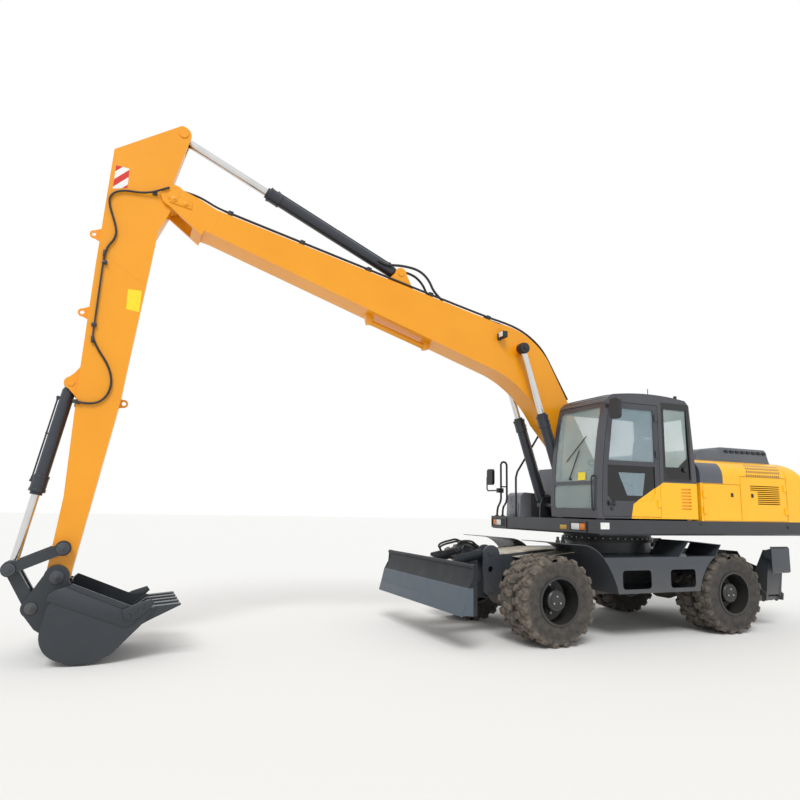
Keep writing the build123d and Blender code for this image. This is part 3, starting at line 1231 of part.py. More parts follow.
# Welded on the edges of the stick: the ears of the bucket cylinder, and three lifting eyes
lifting_eyes = (
    # pin, height of the weld above and below it
    ((7033, 4511), 84),
    ((7071, 3597), 84),
    ((6569, 2620), 60),
)
with BuildPart() as stick_brackets:
    across(bucket_cylinder_pin, bucket_base_pin_radius, boom_y - 112, boom_y + 112)
    for ear in (-1, 1):
        with BuildSketch(side(boom_y + ear * 88 + 14)):
            with Locations(bucket_cylinder_pin):
                Circle(66)
            outline([(7000, 2600), (7000, 3010), (bucket_cylinder_pin[0] - 30, bucket_cylinder_pin[1] + 110),
                     (bucket_cylinder_pin[0] + 62, bucket_cylinder_pin[1] + 20),
                     (bucket_cylinder_pin[0] + 20, bucket_cylinder_pin[1] - 62)])
        extrude(amount=28)
    for (x, z), weld in lifting_eyes:
        inward = -90 if x > bucket_pin[0] - 60 else 90
        with BuildSketch(side(boom_y + lifting_eye_wall / 2)):
            outline([(x + inward, z + weld), (x, z + 42), (x, z - 42), (x + inward, z - weld)])
            with Locations((x, z)):
                Circle(44)
                Circle(lifting_eye_radius, mode=Mode.SUBTRACT)
        extrude(amount=lifting_eye_wall)
    # Cut back to the edges of the stick, which the brackets sit on
    with BuildSketch(side(boom_y + stick_half_width)):
        stick_outline(0)
    extrude(amount=2 * stick_half_width, mode=Mode.SUBTRACT)
stick_brackets.part.label = "stick_brackets"
export_step(stick_brackets.part, "parts/stick_brackets.step")

# Hose and steel pipe down each flank of the stick, to the cylinder of the bucket
line_y = stick_half_width + 24
stick_pipe_radius = 12
with BuildPart() as stick_lines:
    for hand in (1, -1):
        y = boom_y + hand * line_y
        pipe([(6420, 5066), (6594, 5030), (6770, 5025), (6880, 4970), (6918, 4860), (6800, 4560), (6812, 4430),
              (6890, 4320), (6903, 4180), (6938, 3300), (6890, 3190), (6750, 3000), (6700, 2800),
              (6760, 2630), (6900, 2562), (7050, 2590)], stick_pipe_radius, side(y))
        for x, z in ((6440, 5060), (6890, 4149), (6935, 3437), (7040, 2590)):
            block((x - 26, x + 26), (y - 24 if hand > 0 else y - 16, y + 16 if hand > 0 else y + 24),
                  (z - 20, z + 20))
stick_lines.part.label = "stick_lines"
export_step(stick_lines.part, "parts/stick_lines.step")

# Bucket: side plates and a wrapped back plate, with ears, cutters and five teeth
mouth_rear, mouth_front = (6880, 768), (6300, 525)
lip_top, lip_foot = (6110, 520), (6235, 350)
bucket_wall = 22


def bucket_outline(inset):
    with BuildLine() as edge:
        Polyline(mouth_rear, mouth_front, lip_top, lip_foot, (6480, 100 + inset))
        ThreePointArc((6480, 100 + inset), (6720, 18 + inset), (6960, 62 + inset))
        ThreePointArc((6960, 62 + inset), (7090 - inset, 170), (7125 - inset, 320))
        Line((7125 - inset, 320), (7080 - inset, 560))
        Line((7080 - inset, 560), (6960 - inset, 700))
        Line((6960 - inset, 700), mouth_rear)
    make_face(edge.edges())


with BuildPart() as bucket:
    with BuildSketch(side(boom_y + bucket_half_width)):
        bucket_outline(0)
    extrude(amount=2 * bucket_half_width)
    with BuildSketch(side(boom_y + bucket_half_width - bucket_wall)):
        with BuildLine():
            Polyline((6870, 820), (6300, 560), (6040, 560), (6255, 372), (6484, 128))
            ThreePointArc((6484, 128), (6720, 46), (6944, 86))
            ThreePointArc((6944, 86), (7066, 186), (7098, 320))
            Polyline((7098, 320), (7056, 545), (6930, 700), (6870, 820))
        make_face()
    extrude(amount=2 * (bucket_half_width - bucket_wall), mode=Mode.SUBTRACT)
    # Ears that take the stick and the link
    ear_in = stick_half_width + 10
    for y_near in (boom_y + ear_in + 40, boom_y - ear_in):
        with BuildSketch(side(y_near)):
            with Locations(bucket_pin):
                Circle(118)
            with Locations(link_pin):
                Circle(92)
            outline([(bucket_pin[0] - 112, bucket_pin[1] - 36), (6905, 720), (7000, 560), (7110, 240),
                     (7200, 300), (link_pin[0] + 80, link_pin[1] - 40), (link_pin[0] + 74, link_pin[1] + 50),
                     (bucket_pin[0] + 86, bucket_pin[1] + 74)])
        extrude(amount=40)
    for pin in (bucket_pin, link_pin):
        across(pin, 45, boom_y - ear_in - 42, boom_y + ear_in + 42)
    # Teeth along the lip
    tooth_pitch = (2 * bucket_half_width - 160) / 4
    for tooth in range(5):
        y = boom_y + bucket_half_width - 80 + 45 - tooth * tooth_pitch
        with BuildSketch(side(y)):
            outline([(6290, 430), (6170, 520), (5866, 545), (5862, 530), (6160, 390), (6235, 350)])
        extrude(amount=90)
bucket.part.label = "bucket"
export_step(bucket.part, "parts/bucket.step")


def flat_link(start, end, radius_start, radius_end, y_near, thickness):
    """A flat bar with round ends between two pins."""
    with BuildSketch(side(y_near)) as section:
        with Locations(start):
            Circle(radius_start)
        with Locations(end):
            Circle(radius_end)
        angle = atan2(end[1] - start[1], end[0] - start[0])
        across_x, across_z = -sin(angle), cos(angle)
        waist = 0.72
        outline([
            (start[0] + across_x * radius_start * waist, start[1] + across_z * radius_start * waist),
            (end[0] + across_x * radius_end * waist, end[1] + across_z * radius_end * waist),
            (end[0] - across_x * radius_end * waist, end[1] - across_z * radius_end * waist),
            (start[0] - across_x * radius_start * waist, start[1] - across_z * radius_start * waist),
        ])
    extrude(section.sketch, amount=thickness)


# Rocker: two flat arms outside the stick, whose pin ends beside the bucket link
rocker_in = stick_half_width + 58
link_half = stick_half_width - 2
with BuildPart() as rocker:
    for y_near in (boom_y + rocker_in + 34, boom_y - rocker_in):
        flat_link(rocker_pin, common_pin, 76, 74, y_near, 34)
    across(rocker_pin, 45 + running_gap, boom_y - rocker_in - 40, boom_y + rocker_in + 40, mode=Mode.SUBTRACT)
    for hand in (1, -1):
        across(common_pin, 45, boom_y + hand * (link_half + running_gap), boom_y + hand * (rocker_in + 46))
rocker.part.label = "rocker"
export_step(rocker.part, "parts/rocker.step")

# Bucket link: two bars between the bucket's ears, joined by a web
link_bar = 60
with BuildPart() as bucket_link:
    for y_near in (boom_y + link_half, boom_y - link_half + link_bar):
        flat_link(common_pin, link_pin, 78, 84, y_near, link_bar)
    with BuildSketch(side(boom_y + link_half)):
        outline([along(common_pin, link_pin, 0.45), along(common_pin, link_pin, 0.62), (7360, 640), (7400, 700)])
        with Locations(link_pin):
            Circle(76)
    extrude(amount=2 * link_half)
    across(link_pin, 45 + running_gap, boom_y - link_half - 1, boom_y + link_half + 1, mode=Mode.SUBTRACT)
bucket_link.part.label = "bucket_link"
export_step(bucket_link.part, "parts/bucket_link.step")

# Cylinders of the front equipment
with BuildPart() as boom_barrels:
    for hand in (1, -1):
        y = boom_y + hand * boom_cylinder_offset
        barrel(boom_cylinder_pin, boom_rod_pin, y, 1290, 68, 44, 46, 74)
        bore_hole(boom_cylinder_pin, 42 + running_gap, y, 60)
boom_barrels.part.label = "boom_barrels"
export_step(boom_barrels.part, "parts/boom_barrels.step")

with BuildPart() as boom_rods:
    for hand in (1, -1):
        y = boom_y + hand * boom_cylinder_offset
        rod(boom_cylinder_pin, boom_rod_pin, y, 700, 44, rod_eye_half, 76, 60, rod_eye_half)
boom_rods.part.label = "boom_rods"
export_step(boom_rods.part, "parts/boom_rods.step")

with BuildPart() as arm_barrel:
    barrel(arm_cylinder_pin, stick_nose, boom_y, 1950, 76, 50, 76, 80)
    bore_hole(arm_cylinder_pin, arm_pin_radius + running_gap, boom_y, 76)
arm_barrel.part.label = "arm_barrel"
export_step(arm_barrel.part, "parts/arm_barrel.step")

with BuildPart() as arm_rod:
    rod(arm_cylinder_pin, stick_nose, boom_y, 1100, 50, 50, 74, 40, nose_slot_half - running_gap)
arm_rod.part.label = "arm_rod"
export_step(arm_rod.part, "parts/arm_rod.step")

with BuildPart() as bucket_barrel:
    barrel(bucket_cylinder_pin, common_pin, boom_y, 1170, 66, 42, 68, 68)
    bore_hole(bucket_cylinder_pin, bucket_base_pin_radius + running_gap, boom_y, 68)
bucket_barrel.part.label = "bucket_barrel"
export_step(bucket_barrel.part, "parts/bucket_barrel.step")

with BuildPart() as bucket_rod:
    rod(bucket_cylinder_pin, common_pin, boom_y, 800, 42, 60, 68, 45, link_half - link_bar - running_gap)
bucket_rod.part.label = "bucket_rod"
export_step(bucket_rod.part, "parts/bucket_rod.step")
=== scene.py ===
import math
import bpy
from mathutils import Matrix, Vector


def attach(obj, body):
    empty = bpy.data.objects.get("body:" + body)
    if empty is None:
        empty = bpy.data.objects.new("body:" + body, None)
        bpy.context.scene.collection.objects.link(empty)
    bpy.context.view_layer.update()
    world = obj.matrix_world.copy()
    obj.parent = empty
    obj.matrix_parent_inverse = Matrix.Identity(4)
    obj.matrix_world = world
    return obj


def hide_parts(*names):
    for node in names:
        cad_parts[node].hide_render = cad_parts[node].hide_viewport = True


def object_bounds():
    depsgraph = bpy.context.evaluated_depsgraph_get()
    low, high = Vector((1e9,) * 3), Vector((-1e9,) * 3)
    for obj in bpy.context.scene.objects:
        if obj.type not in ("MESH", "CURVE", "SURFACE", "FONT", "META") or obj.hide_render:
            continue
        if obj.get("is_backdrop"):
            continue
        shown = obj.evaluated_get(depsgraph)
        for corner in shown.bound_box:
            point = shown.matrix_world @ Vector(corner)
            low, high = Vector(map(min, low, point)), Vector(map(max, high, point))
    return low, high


# A wheeled excavator on twin tyres. X points to the bucket, Y to the left and Z up, in metres.
# The CAD solids give each piece its place. This script gives them their finish and their small parts.
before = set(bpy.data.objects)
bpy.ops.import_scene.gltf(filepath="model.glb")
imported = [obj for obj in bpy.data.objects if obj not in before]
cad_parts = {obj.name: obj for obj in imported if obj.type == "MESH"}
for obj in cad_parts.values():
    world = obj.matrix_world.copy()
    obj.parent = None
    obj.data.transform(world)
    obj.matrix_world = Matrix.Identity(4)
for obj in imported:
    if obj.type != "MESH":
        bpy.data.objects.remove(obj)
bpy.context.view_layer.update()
bpy.ops.object.select_all(action="DESELECT")
bpy.context.scene.view_settings.view_transform = "Standard"


# Camera: where the photographer stood, in front of the machine on its left and at the height of the deck.
# The lens is a plain wide one, tilted up to take in the boom.
standpoint = (4.171, 7.634, 1.563)
aim = (99.332, -1.131, 156.704)
bpy.ops.object.camera_add(location=standpoint, rotation=[math.radians(turn) for turn in aim])
camera = bpy.context.object
camera.data.lens = 29.23
camera.data.clip_end = 300
bpy.context.scene.camera = camera


# Floor and light: a pale studio floor under an even white sky, with one broad lamp from the front left.
# The sky looks white to the camera and to glass and chrome, and lights the object at a plain level.
def tone(code):
    """The linear colour of an sRGB hex value."""
    shares = [int(code[at:at + 2], 16) / 255 for at in (0, 2, 4)]
    return [s / 12.92 if s <= 0.04045 else ((s + 0.055) / 1.055) ** 2.4 for s in shares] + [1]


def add_node(tree, kind, inputs=None, **settings):
    """Adds a node with its settings, and sets or links its inputs."""
    node = tree.nodes.new(kind)
    for name, value in settings.items():
        setattr(node, name, value)
    for name, value in (inputs or {}).items():
        if isinstance(value, bpy.types.NodeSocket):
            tree.links.new(value, node.inputs[name])
        else:
            node.inputs[name].default_value = value
    return node


def new_finish(name, plain):
    """A new material, plain numbers set on its shader, with its tree, shader and Object coordinates."""
    finish = bpy.data.materials.new(name)
    finish.use_nodes = True
    tree = finish.node_tree
    shader = tree.nodes["Principled BSDF"]
    for socket, value in plain.items():
        shader.inputs[socket].default_value = value
    return finish, tree, shader, add_node(tree, "ShaderNodeTexCoord").outputs["Object"]


bpy.ops.mesh.primitive_plane_add(size=160)
floor = bpy.context.object
floor.name = "floor"
concrete, tree, skin = new_finish("pale_studio_floor", {"Roughness": 0.9})[:3]
cloud = add_node(tree, "ShaderNodeTexNoise", {"Scale": 0.6, "Detail": 3.0})
tint = add_node(tree, "ShaderNodeValToRGB", {"Fac": cloud.outputs["Fac"]})
first, last = tint.color_ramp.elements
first.color, last.color = tone("F3F3F1"), tone("F8F8F7")
tree.links.new(tint.outputs["Color"], skin.inputs["Base Color"])
floor.data.materials.append(concrete)
floor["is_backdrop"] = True

sky = bpy.data.worlds.new("white_sky")
bpy.context.scene.world = sky
sky.use_nodes = True
tree = sky.node_tree
rays = add_node(tree, "ShaderNodeLightPath").outputs
seen = add_node(tree, "ShaderNodeMath", {0: rays["Is Camera Ray"], 1: rays["Is Glossy Ray"]},
                operation="MAXIMUM")
seen = add_node(tree, "ShaderNodeMath", {0: seen.outputs[0], 1: rays["Is Transmission Ray"]},
                operation="MAXIMUM")
level = add_node(tree, "ShaderNodeMapRange", {"Value": seen.outputs[0], "To Min": 0.62, "To Max": 1.0})
light = tree.nodes["Background"]
light.inputs["Color"].default_value = (1, 1, 1, 1)
tree.links.new(level.outputs["Result"], light.inputs["Strength"])

bpy.ops.object.light_add(type="SUN", rotation=[math.radians(turn) for turn in (-44, 0, -28)])
lamp = bpy.context.object
lamp.data.energy = 1.7
lamp.data.angle = math.radians(24)
bpy.ops.object.select_all(action="DESELECT")


# Chassis and stabilizer channel: welded plate, sprayed in slate grey enamel.
# Road dust lies on it low down, and the coat has a faint ripple that softens its gloss.
def recolour(material, mask, colour):
    """Lays a second paint over a material where the mask is 1."""
    tree = material.node_tree
    coat = tree.nodes["Principled BSDF"]
    under = coat.inputs["Base Color"].links[0].from_socket
    mix = add_node(tree, "ShaderNodeMix", {0: mask, 6: under, 7: tone(colour)}, data_type="RGBA")
    tree.links.new(mix.outputs[2], coat.inputs["Base Color"])


def painted_steel(name, colour, shade, roughness=0.36, dust=0.0, dust_top=1.1):
    """Two-pack enamel on steel plate, with cloudy tone, ripple and dust below dust_top."""
    steel, tree, coat, place = new_finish(name, {"IOR": 1.5, "Coat Weight": 0.15})
    # Clouds some 600 mm across
    clouds = add_node(tree, "ShaderNodeTexNoise", {"Vector": place, "Scale": 1.7, "Detail": 5.0})
    paint = add_node(tree, "ShaderNodeValToRGB", {"Fac": clouds.outputs["Fac"]})
    first, last = paint.color_ramp.elements
    first.position, first.color = 0.3, tone(shade)
    last.position, last.color = 0.7, tone(colour)
    tree.links.new(paint.outputs["Color"], coat.inputs["Base Color"])
    if dust:
        # Dust in patches of about 90 mm, thicker towards the ground
        height = add_node(tree, "ShaderNodeSeparateXYZ", {"Vector": place})
        low = add_node(tree, "ShaderNodeMapRange", {
            "Value": height.outputs["Z"], "From Min": 0.2, "From Max": dust_top, "To Min": dust,
            "To Max": 0.0})
        patch = add_node(tree, "ShaderNodeTexNoise", {"Vector": place, "Scale": 11.0, "Detail": 8.0})
        share = add_node(tree, "ShaderNodeMath", {0: low.outputs["Result"], 1: patch.outputs["Fac"]},
                         operation="MULTIPLY")
        recolour(steel, share.outputs[0], "8F8270")
    # Gloss varies with handling, and a ripple of about 15 mm stands for orange peel, drawn coarse
    wear = add_node(tree, "ShaderNodeTexNoise", {"Vector": place, "Scale": 6.0, "Detail": 6.0})
    gloss = add_node(tree, "ShaderNodeMapRange", {
        "Value": wear.outputs["Fac"], "To Min": roughness - 0.08, "To Max": roughness + 0.16})
    tree.links.new(gloss.outputs["Result"], coat.inputs["Roughness"])
    ripple = add_node(tree, "ShaderNodeTexNoise", {"Vector": place, "Scale": 65.0, "Detail": 2.0})
    bump = add_node(tree, "ShaderNodeBump", {
        "Height": ripple.outputs["Fac"], "Strength": 0.12, "Distance": 0.002})
    tree.links.new(bump.outputs["Normal"], coat.inputs["Normal"])
    return steel


def dress(material, *nodes):
    """Gives solids of the frame their finish."""
    for node in nodes:
        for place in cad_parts[node].material_slots:
            place.material = material


slate = painted_steel("slate_enamel", "40454C", "393E44", dust=0.4, dust_top=0.9)
dress(slate, "chassis_frame", "stabilizer_frame", "tie_down_lugs", "side_step_left", "side_step_right",
      "stabilizer_leg_left", "stabilizer_leg_right", "stabilizer_pad_left", "stabilizer_pad_right")


# Deck plates on the frame between the fenders: pale tread plate, screwed down.
# They are aluminium, dull with dry mud, and slope down to the front.

# X of the slewing axis, in metres
slew_x = -2.38


def spot(x, y, z):
    """A point in metres, from millimetres with x measured forward from the slewing axis."""
    return Vector((x / 1000 + slew_x, y / 1000, z / 1000))


def open_mesh():
    """Opens the active mesh for editing, with all of it selected."""
    bpy.ops.object.mode_set(mode="EDIT")
    bpy.ops.mesh.select_all(action="SELECT")


def shape_by(kind, **settings):
    """Puts a modifier on the active piece and applies it."""
    bpy.ops.object.modifier_add(type=kind)
    step = bpy.context.object.modifiers[-1]
    for name, value in settings.items():
        setattr(step, name, value)
    bpy.ops.object.modifier_apply(modifier=step.name)


def ease(edge, rounds=2):
    """Rounds the sharp edges of the active piece, by some millimetres."""
    if edge:
        shape_by("BEVEL", width=edge / 1000, segments=rounds, limit_method="ANGLE",
                 angle_limit=math.radians(35))


def draw_out(corners, push, taper=None, about=None):
    """Pulls a filled ring to its corners and draws it out; its far face may taper about a point."""
    bpy.ops.object.select_all(action="DESELECT")
    bpy.ops.mesh.primitive_circle_add(vertices=len(corners), fill_type="NGON")
    piece = bpy.context.object
    for corner, place in zip(piece.data.vertices, corners):
        corner.co = place
    open_mesh()
    bpy.ops.mesh.extrude_region_move(TRANSFORM_OT_translate={"value": push})
    if taper:
        bpy.ops.transform.resize(value=taper, center_override=about)
    bpy.ops.mesh.select_all(action="SELECT")
    bpy.ops.mesh.normals_make_consistent(inside=False)
    bpy.ops.object.mode_set(mode="OBJECT")
    return piece


def plate(points, near, depth, view="side", edge=4):
    """Plate cut to an outline or to two opposite corners, seen from a side or in front, edges eased."""
    if len(points) == 2:
        low, high = points
        points = [low, (high[0], low[1]), high, (low[0], high[1])]
    turned = {"side": lambda a, b, c: spot(a, c, b), "front": lambda a, b, c: spot(c, a, b)}[view]
    piece = draw_out([turned(a, b, near) for a, b in points], turned(0, 0, -depth) - turned(0, 0, 0))
    ease(edge)
    return piece


def pick(*pieces):
    """Selects these pieces alone, the first of them active."""
    bpy.ops.object.select_all(action="DESELECT")
    for piece in pieces:
        piece.select_set(True)
    bpy.context.view_layer.objects.active = pieces[0]


def join(pieces):
    """Welds pieces into one."""
    pick(*pieces)
    bpy.ops.object.join()
    return bpy.context.object


def settle(piece, name, material, body, smooth=35):
    """Freezes a piece's place into its mesh, names it, finishes it and fixes it to a body."""
    pick(piece)
    bpy.ops.object.transform_apply()
    piece.name = name
    piece.data.materials.clear()
    piece.data.materials.append(material)
    bpy.ops.object.shade_smooth_by_angle(angle=math.radians(smooth))
    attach(piece, body)
    bpy.ops.object.select_all(action="DESELECT")
    return piece


# Aluminium gone dull under dry mud, with its raised bars still showing
tread_plate, tree, metal, place = new_finish("dusty_aluminium_tread_plate",
                                             {"Metallic": 0.35, "Roughness": 0.62})
mud = add_node(tree, "ShaderNodeTexNoise", {"Vector": place, "Scale": 9.0, "Detail": 8.0})
tint = add_node(tree, "ShaderNodeValToRGB", {"Fac": mud.outputs["Fac"]})
first, last = tint.color_ramp.elements
first.position, first.color = 0.35, tone("A79F8D")
last.position, last.color = 0.62, tone("CFCBBC")
tree.links.new(tint.outputs["Color"], metal.inputs["Base Color"])
# Raised bars, 28 mm apart
bars = add_node(tree, "ShaderNodeTexVoronoi", {"Vector": place, "Scale": 36.0}, distance="CHEBYCHEV")
bump = add_node(tree, "ShaderNodeBump", {
    "Height": bars.outputs["Distance"], "Strength": 0.5, "Distance": 0.003})
tree.links.new(bump.outputs["Normal"], metal.inputs["Normal"])

deck_plates = [plate([(1104, 1042), (1300, 1042), (2044, 984), (2044, 992), (1300, 1050), (1104, 1050)],
                     342, 684, edge=1)]
for near in (700, -352):
    deck_plates.append(plate([(1100, 1030), (1830, 958), (1830, 966), (1100, 1040)], near, 348, edge=1))
settle(join(deck_plates), "deck_plates", tread_plate, "chassis")


# Axles, knuckles and slewing ring: cast and forged steel, sprayed dark and rough from the mould.
# The knuckles turn on pins at the ends of the front axle.
cast_steel = painted_steel("painted_cast_steel", "34373B", "2B2D30", roughness=0.6, dust=0.9, dust_top=0.9)
dress(cast_steel, "front_axle", "rear_axle", "knuckle_left", "knuckle_right", "slewing_ring")


# Bolts of the slewing ring: hexagon heads in bright zinc with a fine spangle.
# One ring of them stands on the lower race, and one hangs under the ring plate of the house.
zinc, tree, metal, place = new_finish("zinc_plated_steel", {"Metallic": 1.0, "Roughness": 0.34})
spangle = add_node(tree, "ShaderNodeTexVoronoi", {"Vector": place, "Scale": 160.0})
tint = add_node(tree, "ShaderNodeValToRGB", {"Fac": spangle.outputs["Distance"]})
first, last = tint.color_ramp.elements
first.color, last.color = tone("B9BBB8"), tone("D9DAD6")
tree.links.new(tint.outputs["Color"], metal.inputs["Base Color"])


def bolt_ring(centre, radius, count, head, height, axis="Z", start=0.0):
    """A ring of hexagon heads: one is modelled and the rest are spun round the centre."""
    bpy.ops.object.select_all(action="DESELECT")
    bpy.ops.mesh.primitive_cylinder_add(
        vertices=6, radius=head / 1000, depth=height / 1000, location=(radius / 1000, 0, 0),
        rotation=(0, 0, 0) if axis == "Z" else (math.pi / 2, 0, 0))
    ring = bpy.context.object
    bpy.ops.object.transform_apply()
    ease(head * 0.12, 1)
    open_mesh()
    turn = (0, 0, 1) if axis == "Z" else (0, 1, 0)
    bpy.ops.mesh.spin(steps=count, dupli=True, angle=2 * math.pi, center=(0, 0, 0), axis=turn)
    bpy.ops.mesh.select_all(action="SELECT")
    bpy.ops.mesh.remove_doubles(threshold=0.0002)
    bpy.ops.object.mode_set(mode="OBJECT")
    ring.rotation_euler = (0, 0, math.radians(start)) if axis == "Z" else (0, math.radians(start), 0)
    ring.location = centre
    return ring


settle(bolt_ring(spot(0, 0, 1192), 616, 40, 15, 18), "ring_bolts_lower", zinc, "chassis")
settle(bolt_ring(spot(0, 0, 1255), 655, 40, 15, 20, start=4.5), "ring_bolts_upper", zinc, "house")


# Wheels: diagonal-ply twin tyres with staggered block lugs, caked with dry brown dust on the tread.
# Each tyre is one spun carcass with its lugs spun round it, and stands for the plain solid of its pair.
wheel_radius = 515
twin_places = (800, 1110)
# Name, place forward of the slewing axis and share of dust
axles = (("front", 1750, 1.0), ("rear", -1050, 0.72))
hands = ((1, "left"), (-1, "right"))


def dusty_rubber(name, hub, dust):
    """Black carbon-filled rubber, matt, grey with dust that lies thickest on the tread and shoulders."""
    rubber, tree, skin, place = new_finish(name, {"Roughness": 0.86})
    wheel = add_node(tree, "ShaderNodeVectorMath", {0: place, 1: hub}, operation="SUBTRACT")
    parts = add_node(tree, "ShaderNodeSeparateXYZ", {"Vector": wheel.outputs[0]})
    flat = add_node(tree, "ShaderNodeCombineXYZ", {"X": parts.outputs["X"], "Y": parts.outputs["Z"]})
    reach = add_node(tree, "ShaderNodeVectorMath", {0: flat.outputs[0]}, operation="LENGTH")
    tread = add_node(tree, "ShaderNodeMapRange", {
        "Value": reach.outputs["Value"], "From Min": 0.42, "From Max": 0.5, "To Min": 0.25, "To Max": 0.85})
    cake = add_node(tree, "ShaderNodeTexNoise", {
        "Vector": place, "Scale": 13.0, "Detail": 9.0, "Roughness": 0.62})
    patch = add_node(tree, "ShaderNodeMapRange", {
        "Value": cake.outputs["Fac"], "From Min": 0.3, "From Max": 0.62, "To Min": 0.12, "To Max": 1.0})
    share = add_node(tree, "ShaderNodeMath", {0: tread.outputs["Result"], 1: patch.outputs["Result"]},
                     operation="MULTIPLY")
    amount = add_node(tree, "ShaderNodeMath", {0: share.outputs[0], 1: dust}, operation="MULTIPLY")
    mix = add_node(tree, "ShaderNodeMix", {0: amount.outputs[0], 6: tone("2A2A2A"), 7: tone("857B70")},
                   data_type="RGBA")
    tree.links.new(mix.outputs[2], skin.inputs["Base Color"])
    grit = add_node(tree, "ShaderNodeTexNoise", {"Vector": place, "Scale": 90.0, "Detail": 6.0})
    bump = add_node(tree, "ShaderNodeBump", {
        "Height": grit.outputs["Fac"], "Strength": 0.5, "Distance": 0.004})
    tree.links.new(bump.outputs["Normal"], skin.inputs["Normal"])
    return rubber


# Section of the carcass: radius and distance from its middle plane, round once from bead to bead
half_section = [(0.263, 0.100), (0.279, 0.110), (0.300, 0.116), (0.335, 0.128), (0.372, 0.131),
                (0.412, 0.129),
                (0.447, 0.122), (0.472, 0.113), (0.484, 0.098), (0.488, 0.060), (0.489, 0.020)]
section = half_section + [(radius, -off) for radius, off in reversed(half_section)]
bpy.ops.mesh.primitive_circle_add(vertices=len(section))
carcass = bpy.context.object
for corner, (radius, off) in zip(carcass.data.vertices, section):
    corner.co = (radius, off, 0)
open_mesh()
bpy.ops.mesh.spin(steps=72, angle=2 * math.pi, center=(0, 0, 0), axis=(0, 1, 0))
bpy.ops.mesh.select_all(action="SELECT")
bpy.ops.mesh.remove_doubles(threshold=0.0001)
bpy.ops.mesh.normals_make_consistent(inside=False)
bpy.ops.object.mode_set(mode="OBJECT")

# A lug: a bent block across half the tread, with a foot down the shoulder; 20 go round in each row
lug_count = 20
lug_outline = [(-0.052, 0.004), (-0.058, 0.030), (-0.030, 0.066), (-0.034, 0.118), (0.048, 0.118),
               (0.052, 0.066), (0.018, 0.034), (0.020, 0.004)]
foot_outline = [(-0.034, 0.505), (-0.040, 0.455), (0.040, 0.455), (0.046, 0.505)]
lug_rows = []
for row in (1, -1):
    block_lug = draw_out([(along, row * off, 0.474) for along, off in lug_outline], (0, 0, 0.0385),
                         taper=(0.86, 0.94, 1), about=(0, row * 0.060, 0.512))
    ease(5, 1)
    foot = draw_out([(along, row * 0.100, up) for along, up in foot_outline], (0, row * 0.030, 0),
                    taper=(0.85, 1, 0.7), about=(0, 0, 0.455))
    ease(5, 1)
    lug = join([block_lug, foot])
    open_mesh()
    bpy.ops.mesh.spin(steps=lug_count, dupli=True, angle=2 * math.pi, center=(0, 0, 0), axis=(0, 1, 0))
    bpy.ops.object.mode_set(mode="OBJECT")
    lug.rotation_euler = (0, math.radians(90 / lug_count * (1 + row)), 0)
    lug_rows.append(lug)
tyre = join([carcass] + lug_rows)
bpy.ops.object.transform_apply()

for axle, axle_x, dust in axles:
    rubber = dusty_rubber(axle + "_tyre_rubber", spot(axle_x, 0, wheel_radius), dust)
    for hand, side_name in hands:
        pair = []
        for twin in twin_places:
            pick(tyre)
            bpy.ops.object.duplicate()
            bpy.context.object.location = spot(axle_x, hand * twin, wheel_radius)
            bpy.context.object.rotation_euler = (0, 0, 0 if hand > 0 else math.pi)
            pair.append(bpy.context.object)
        wheel = f"wheels_{axle}_{side_name}"
        wheel_tyres = settle(join(pair), f"lugged_tyres_{axle}_{side_name}", rubber, wheel)
        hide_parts(f"tyres_{axle}_{side_name}")
bpy.data.objects.remove(tyre)


# Rims and hubs: pressed steel discs in dark enamel, clamped to the drum by ten zinc-plated nuts.
# A round cover with three bolts closes the drum, and an air valve stands out beside the nuts.
rim_enamel = painted_steel("rim_enamel", "222427", "1C1E20", roughness=0.42, dust=0.12, dust_top=1.3)
dress(rim_enamel, "rims_front_left", "rims_front_right", "rims_rear_left", "rims_rear_right")


def bar(start, end, radius, sides, edge, wall=0):
    """A turned bar between two points in millimetres, or an open tube where it has a wall."""
    start, end = spot(*start), spot(*end)
    line = end - start
    bpy.ops.object.select_all(action="DESELECT")
    bpy.ops.mesh.primitive_cylinder_add(
        vertices=sides, radius=radius / 1000, depth=line.length, end_fill_type="NOTHING" if wall else "NGON",
        location=(start + end) / 2, rotation=line.to_track_quat("Z", "Y").to_euler())
    if wall:
        shape_by("SOLIDIFY", thickness=wall / 1000, offset=-1)
    ease(edge)
    return bpy.context.object


for axle, axle_x, _ in axles:
    for hand, side_name in hands:
        wheel = f"{axle}_{side_name}"
        nuts = [bolt_ring(spot(axle_x, hand * 945, wheel_radius), 172, 10, 17, 34, "Y"),
                bolt_ring(spot(axle_x, hand * 1168, wheel_radius), 52, 3, 11, 14, "Y", start=30)]
        settle(join(nuts), "wheel_nuts_" + wheel, zinc, "wheels_" + wheel)
        cover = [bar((axle_x, hand * 1160, wheel_radius), (axle_x, hand * 1170, wheel_radius), 84, 40, 3),
                 bar((axle_x + 140, hand * 968, wheel_radius + 170),
                     (axle_x + 146, hand * 1010, wheel_radius + 176), 5, 8, 0)]
        settle(join(cover), "hub_cover_" + wheel, rim_enamel, "wheels_" + wheel)


